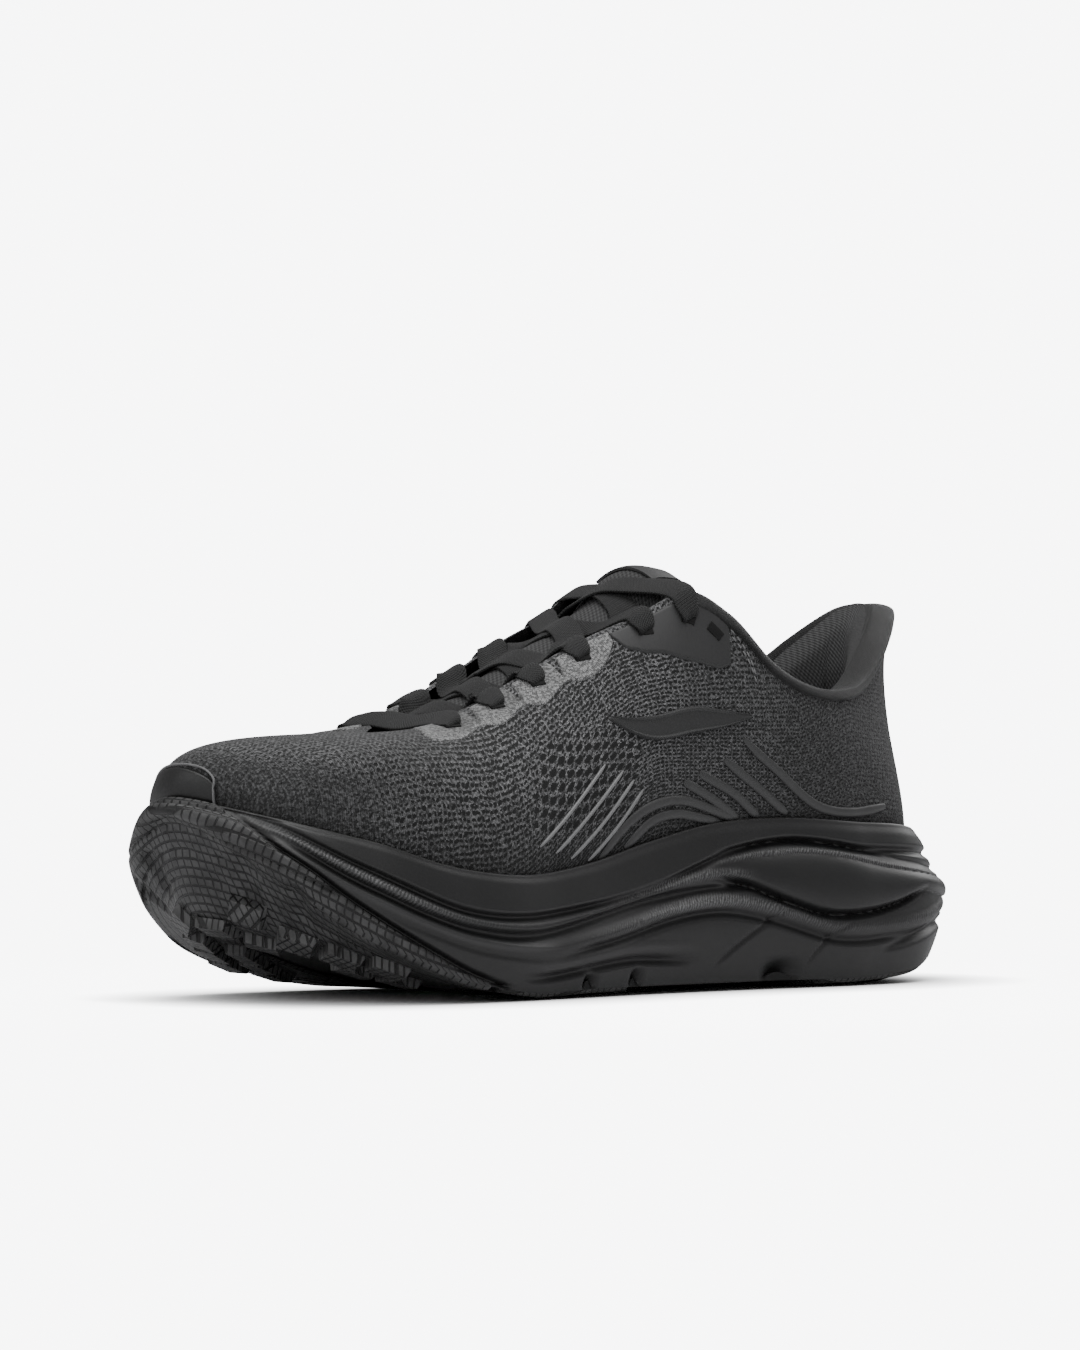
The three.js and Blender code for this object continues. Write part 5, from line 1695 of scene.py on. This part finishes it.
@dataclass
class Studio:
    """Camera, soft lights and a pale floor."""

    backdrop: float = 8.0
    floor_level: float = 8.0
    aim: tuple[float, float, float] = (0.0011, -0.00075, 0.0)
    distance: float = 1.5
    azimuth: float = 48.0
    elevation: float = 2.6
    raised: float = 3.708
    turned: float = 0.243
    lens: float = 129.6
    fill: float = 0.26
    # reach of the floor's painted contact shadow
    painted_shadow_reach: float = 0.035
    white: tuple[float, ...] = (0.985, 0.99, 1.0, 1.0)
    # name, place, side and power of each soft box
    boxes: tuple[tuple[str, tuple[float, float, float], float, float], ...] = (
        ("top_box", (0.1, -0.15, 1.5), 1.3, 20), ("front_box", (1.3, -1.2, 0.9), 1.0, 7),
        ("toe_box", (-0.5, -1.7, 0.7), 0.9, 5), ("back_box", (-0.3, 1.6, 1.0), 1.0, 10))

    def camera(self) -> None:
        """A long lens a little above the floor, aimed above the shoe so that it sits low in the frame."""
        a, e = math.radians(self.azimuth), math.radians(self.elevation)
        back = Vector((math.sin(a) * math.cos(e), -math.cos(a) * math.cos(e), math.sin(e)))
        right = Vector((0, 0, 1)).cross(back).normalized()
        up = back.cross(right)
        look = -back + up * math.tan(math.radians(self.raised)) - right * math.tan(math.radians(self.turned))
        data = bpy.data.cameras.new("camera")
        data.lens, data.sensor_width, data.clip_end = self.lens, 36, 50
        obj = bpy.data.objects.new("camera", data)
        turn = look.to_track_quat("-Z", "Y").to_matrix().to_4x4()
        obj.matrix_world = Matrix.Translation(Vector(self.aim) + back * self.distance) @ turn
        bpy.context.scene.collection.objects.link(obj)
        bpy.context.scene.camera = obj

    def light(self, name: str, at: Sequence[float], size: float, power: float) -> None:
        """A square soft box that faces the shoe."""
        data = bpy.data.lights.new(name, "AREA")
        data.size, data.energy = size, power
        obj = bpy.data.objects.new(name, data)
        turn = (Vector((0, 0, 0.06)) - Vector(at)).to_track_quat("-Z", "Y").to_matrix().to_4x4()
        obj.matrix_world = Matrix.Translation(at) @ turn
        bpy.context.scene.collection.objects.link(obj)

    def world(self) -> None:
        """Pale all round, and dimmer as a light than as a backdrop."""
        world = bpy.data.worlds.new("studio")
        world.use_nodes = True
        tree = world.node_tree
        tree.nodes.clear()
        level, end = tree.nodes.new("ShaderNodeBackground"), tree.nodes.new("ShaderNodeOutputWorld")
        seen = tree.nodes.new("ShaderNodeLightPath")
        strength = tree.nodes.new("ShaderNodeMapRange")
        strength.inputs["To Min"].default_value = self.fill
        strength.inputs["To Max"].default_value = self.backdrop
        level.inputs["Color"].default_value = self.white
        tree.links.new(seen.outputs["Is Camera Ray"], strength.inputs["Value"])
        tree.links.new(strength.outputs[0], level.inputs["Strength"])
        tree.links.new(level.outputs[0], end.inputs["Surface"])
        bpy.context.scene.world = world

    def floor(self) -> bpy.types.Object:
        """A wide pale floor that fades into the backdrop away from the shoe, with a painted contact shadow
        near the shoe.
        """
        mesh = bpy.data.meshes.new("floor")
        mesh.from_pydata([(-30, -30, 0), (30, -30, 0), (30, 30, 0), (-30, 30, 0)], [], [(0, 1, 2, 3)])
        obj = bpy.data.objects.new("floor", mesh)
        bpy.context.scene.collection.objects.link(obj)
        paint = Paint("studio_floor")
        at = paint.place()
        away = paint.node("ShaderNodeVectorMath", {"operation": "LENGTH"}, {0: at}, "Value")
        lit = paint.node("ShaderNodeBsdfDiffuse", {}, {"Color": (self.floor_level,) * 3 + (1,)})
        # ambient occlusion dims the floor's glow next to the shoe: a painted contact shadow
        near = paint.node("ShaderNodeAmbientOcclusion", {"samples": 16}, {"Distance": self.painted_shadow_reach}, "AO")
        glow = near * near * near * self.backdrop
        under = paint.node("ShaderNodeEmission", {}, {"Color": self.white, "Strength": glow})
        matt = paint.node("ShaderNodeBsdfDiffuse", {}, {"Color": (0.7, 0.7, 0.71, 1)})
        seen = paint.node("ShaderNodeLightPath", {}, {}, "Is Camera Ray")
        far = 0.85 + 0.15 * away.step(0.17, 0.30)
        shown = paint.node("ShaderNodeMixShader", {}, {0: far, 1: lit, 2: under})
        mixed = paint.node("ShaderNodeMixShader", {}, {0: seen, 1: matt, 2: shown})
        end = paint.tree.nodes["Material Output"]
        paint.tree.links.new(mixed.socket, end.inputs["Surface"])
        paint.tree.nodes.remove(paint.shader)
        mesh.materials.append(paint.material)
        return obj

    def build(self) -> None:
        """Sets the whole studio up."""
        self.camera()
        for name, at, size, power in self.boxes:
            self.light(name, at, size, power)
        self.world()
        self.floor()


# ---------------------------------------------------------------- assembly


def dress(obj: bpy.types.Object, body: str, slot: str, *nodes: str) -> bpy.types.Object:
    """Puts a finished piece on its body, in place of its CAD nodes, and logs it."""
    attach(obj, body)
    if nodes:
        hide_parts(*nodes)
    LOG.info("%s on %s, %d faces", obj.name, body, len(obj.data.polygons))
    return obj


def build_sole() -> None:
    """The foam, the rubber under it and the footbed inside."""
    tread = Tread()
    dress(Midsole().build(), "shoe", "midsole_foam", "midsole")
    dress(ToeRubber().build(), "shoe", "outsole_rubber", "outsole_toe")
    for pod in tread.pods:
        dress(tread.pod(pod), "shoe", "outsole_rubber", pod.name)
    dress(tread.lugs(), "shoe", "outsole_rubber")
    dress(slab("strobel_board_sheet", 0.6, 2.1, 4.6, BOARD), "shoe", "strobel_board", "strobel_board")
    foam = slab("sockliner_padding", 2.45, 6.65, 8.6, SOFT_FOAM)
    dress(foam, "shoe", "sockliner_foam", "sockliner_foam")
    cloth = slab("sockliner_top_cloth", 7.0, 7.8, 8.6, LINING_CLOTH)
    dress(cloth, "shoe", "lining_textile", "sockliner_cloth")


def build_upper() -> None:
    """The knit with its overlays, linings and stiffeners."""
    over, collar = Overlays(), Collar()
    dress(KnitUpper().build(), "shoe", "knit", "knit_upper")
    for side in Side:
        where = side.value
        piping, ribs = over.ribs(side)
        dress(piping, "shoe", "rib_film")
        dress(ribs, "shoe", "rib_film", f"support_film_{where}")
        dress(over.plate(side), "shoe", "smooth_film", f"eyestay_plate_{where}")
        dress(over.band(side), "shoe", "embroidery", f"eyestay_band_{where}")
        dress(over.saddle(side), "shoe", "smooth_film", f"saddle_{where}")
        dress(over.slots(side), "shoe", "smooth_film")
        dress(over.stitches(side), "shoe", "embroidery")
    dress(over.toe_bumper(), "shoe", "outsole_rubber", "toe_bumper")
    dress(over.toe_bead(), "shoe", "outsole_rubber")
    dress(over.heel_strip(), "shoe", "smooth_film", "heel_strip")
    dress(collar.edge(), "shoe", "lining_textile")
    dress(collar.foam(), "shoe", "collar_foam", "collar_foam")
    dress(collar.lining(), "shoe", "lining_textile", "collar_lining")
    dress(collar.vamp(), "shoe", "lining_textile", "vamp_lining")
    dress(collar.counter(), "shoe", "counter_plastic", "heel_counter")
    dress(collar.puff(), "shoe", "toe_puff_board", "toe_puff")


def build_tongue_and_lace() -> None:
    """The tongue, which tilts, and the lace over it."""
    for obj, slot, node in Tongue().build():
        dress(obj, "tongue", slot, node)
    lacing = Lacing()
    dress(lacing.lace(), "shoe", "lace_textile", "lace")
    for side in Side:
        end, tip = lacing.tail(side)
        dress(end, "shoe", "lace_textile", f"lace_tail_{side.value}")
        dress(tip, "shoe", "aglet_plastic", f"aglet_{side.value}")


def main() -> None:
    """Builds the studio and the shoe."""
    Studio().build()
    build_sole()
    build_upper()
    build_tongue_and_lace()


if __name__ == "__main__":
    logging.basicConfig(level=logging.INFO, format="%(name)s: %(message)s")
    main()
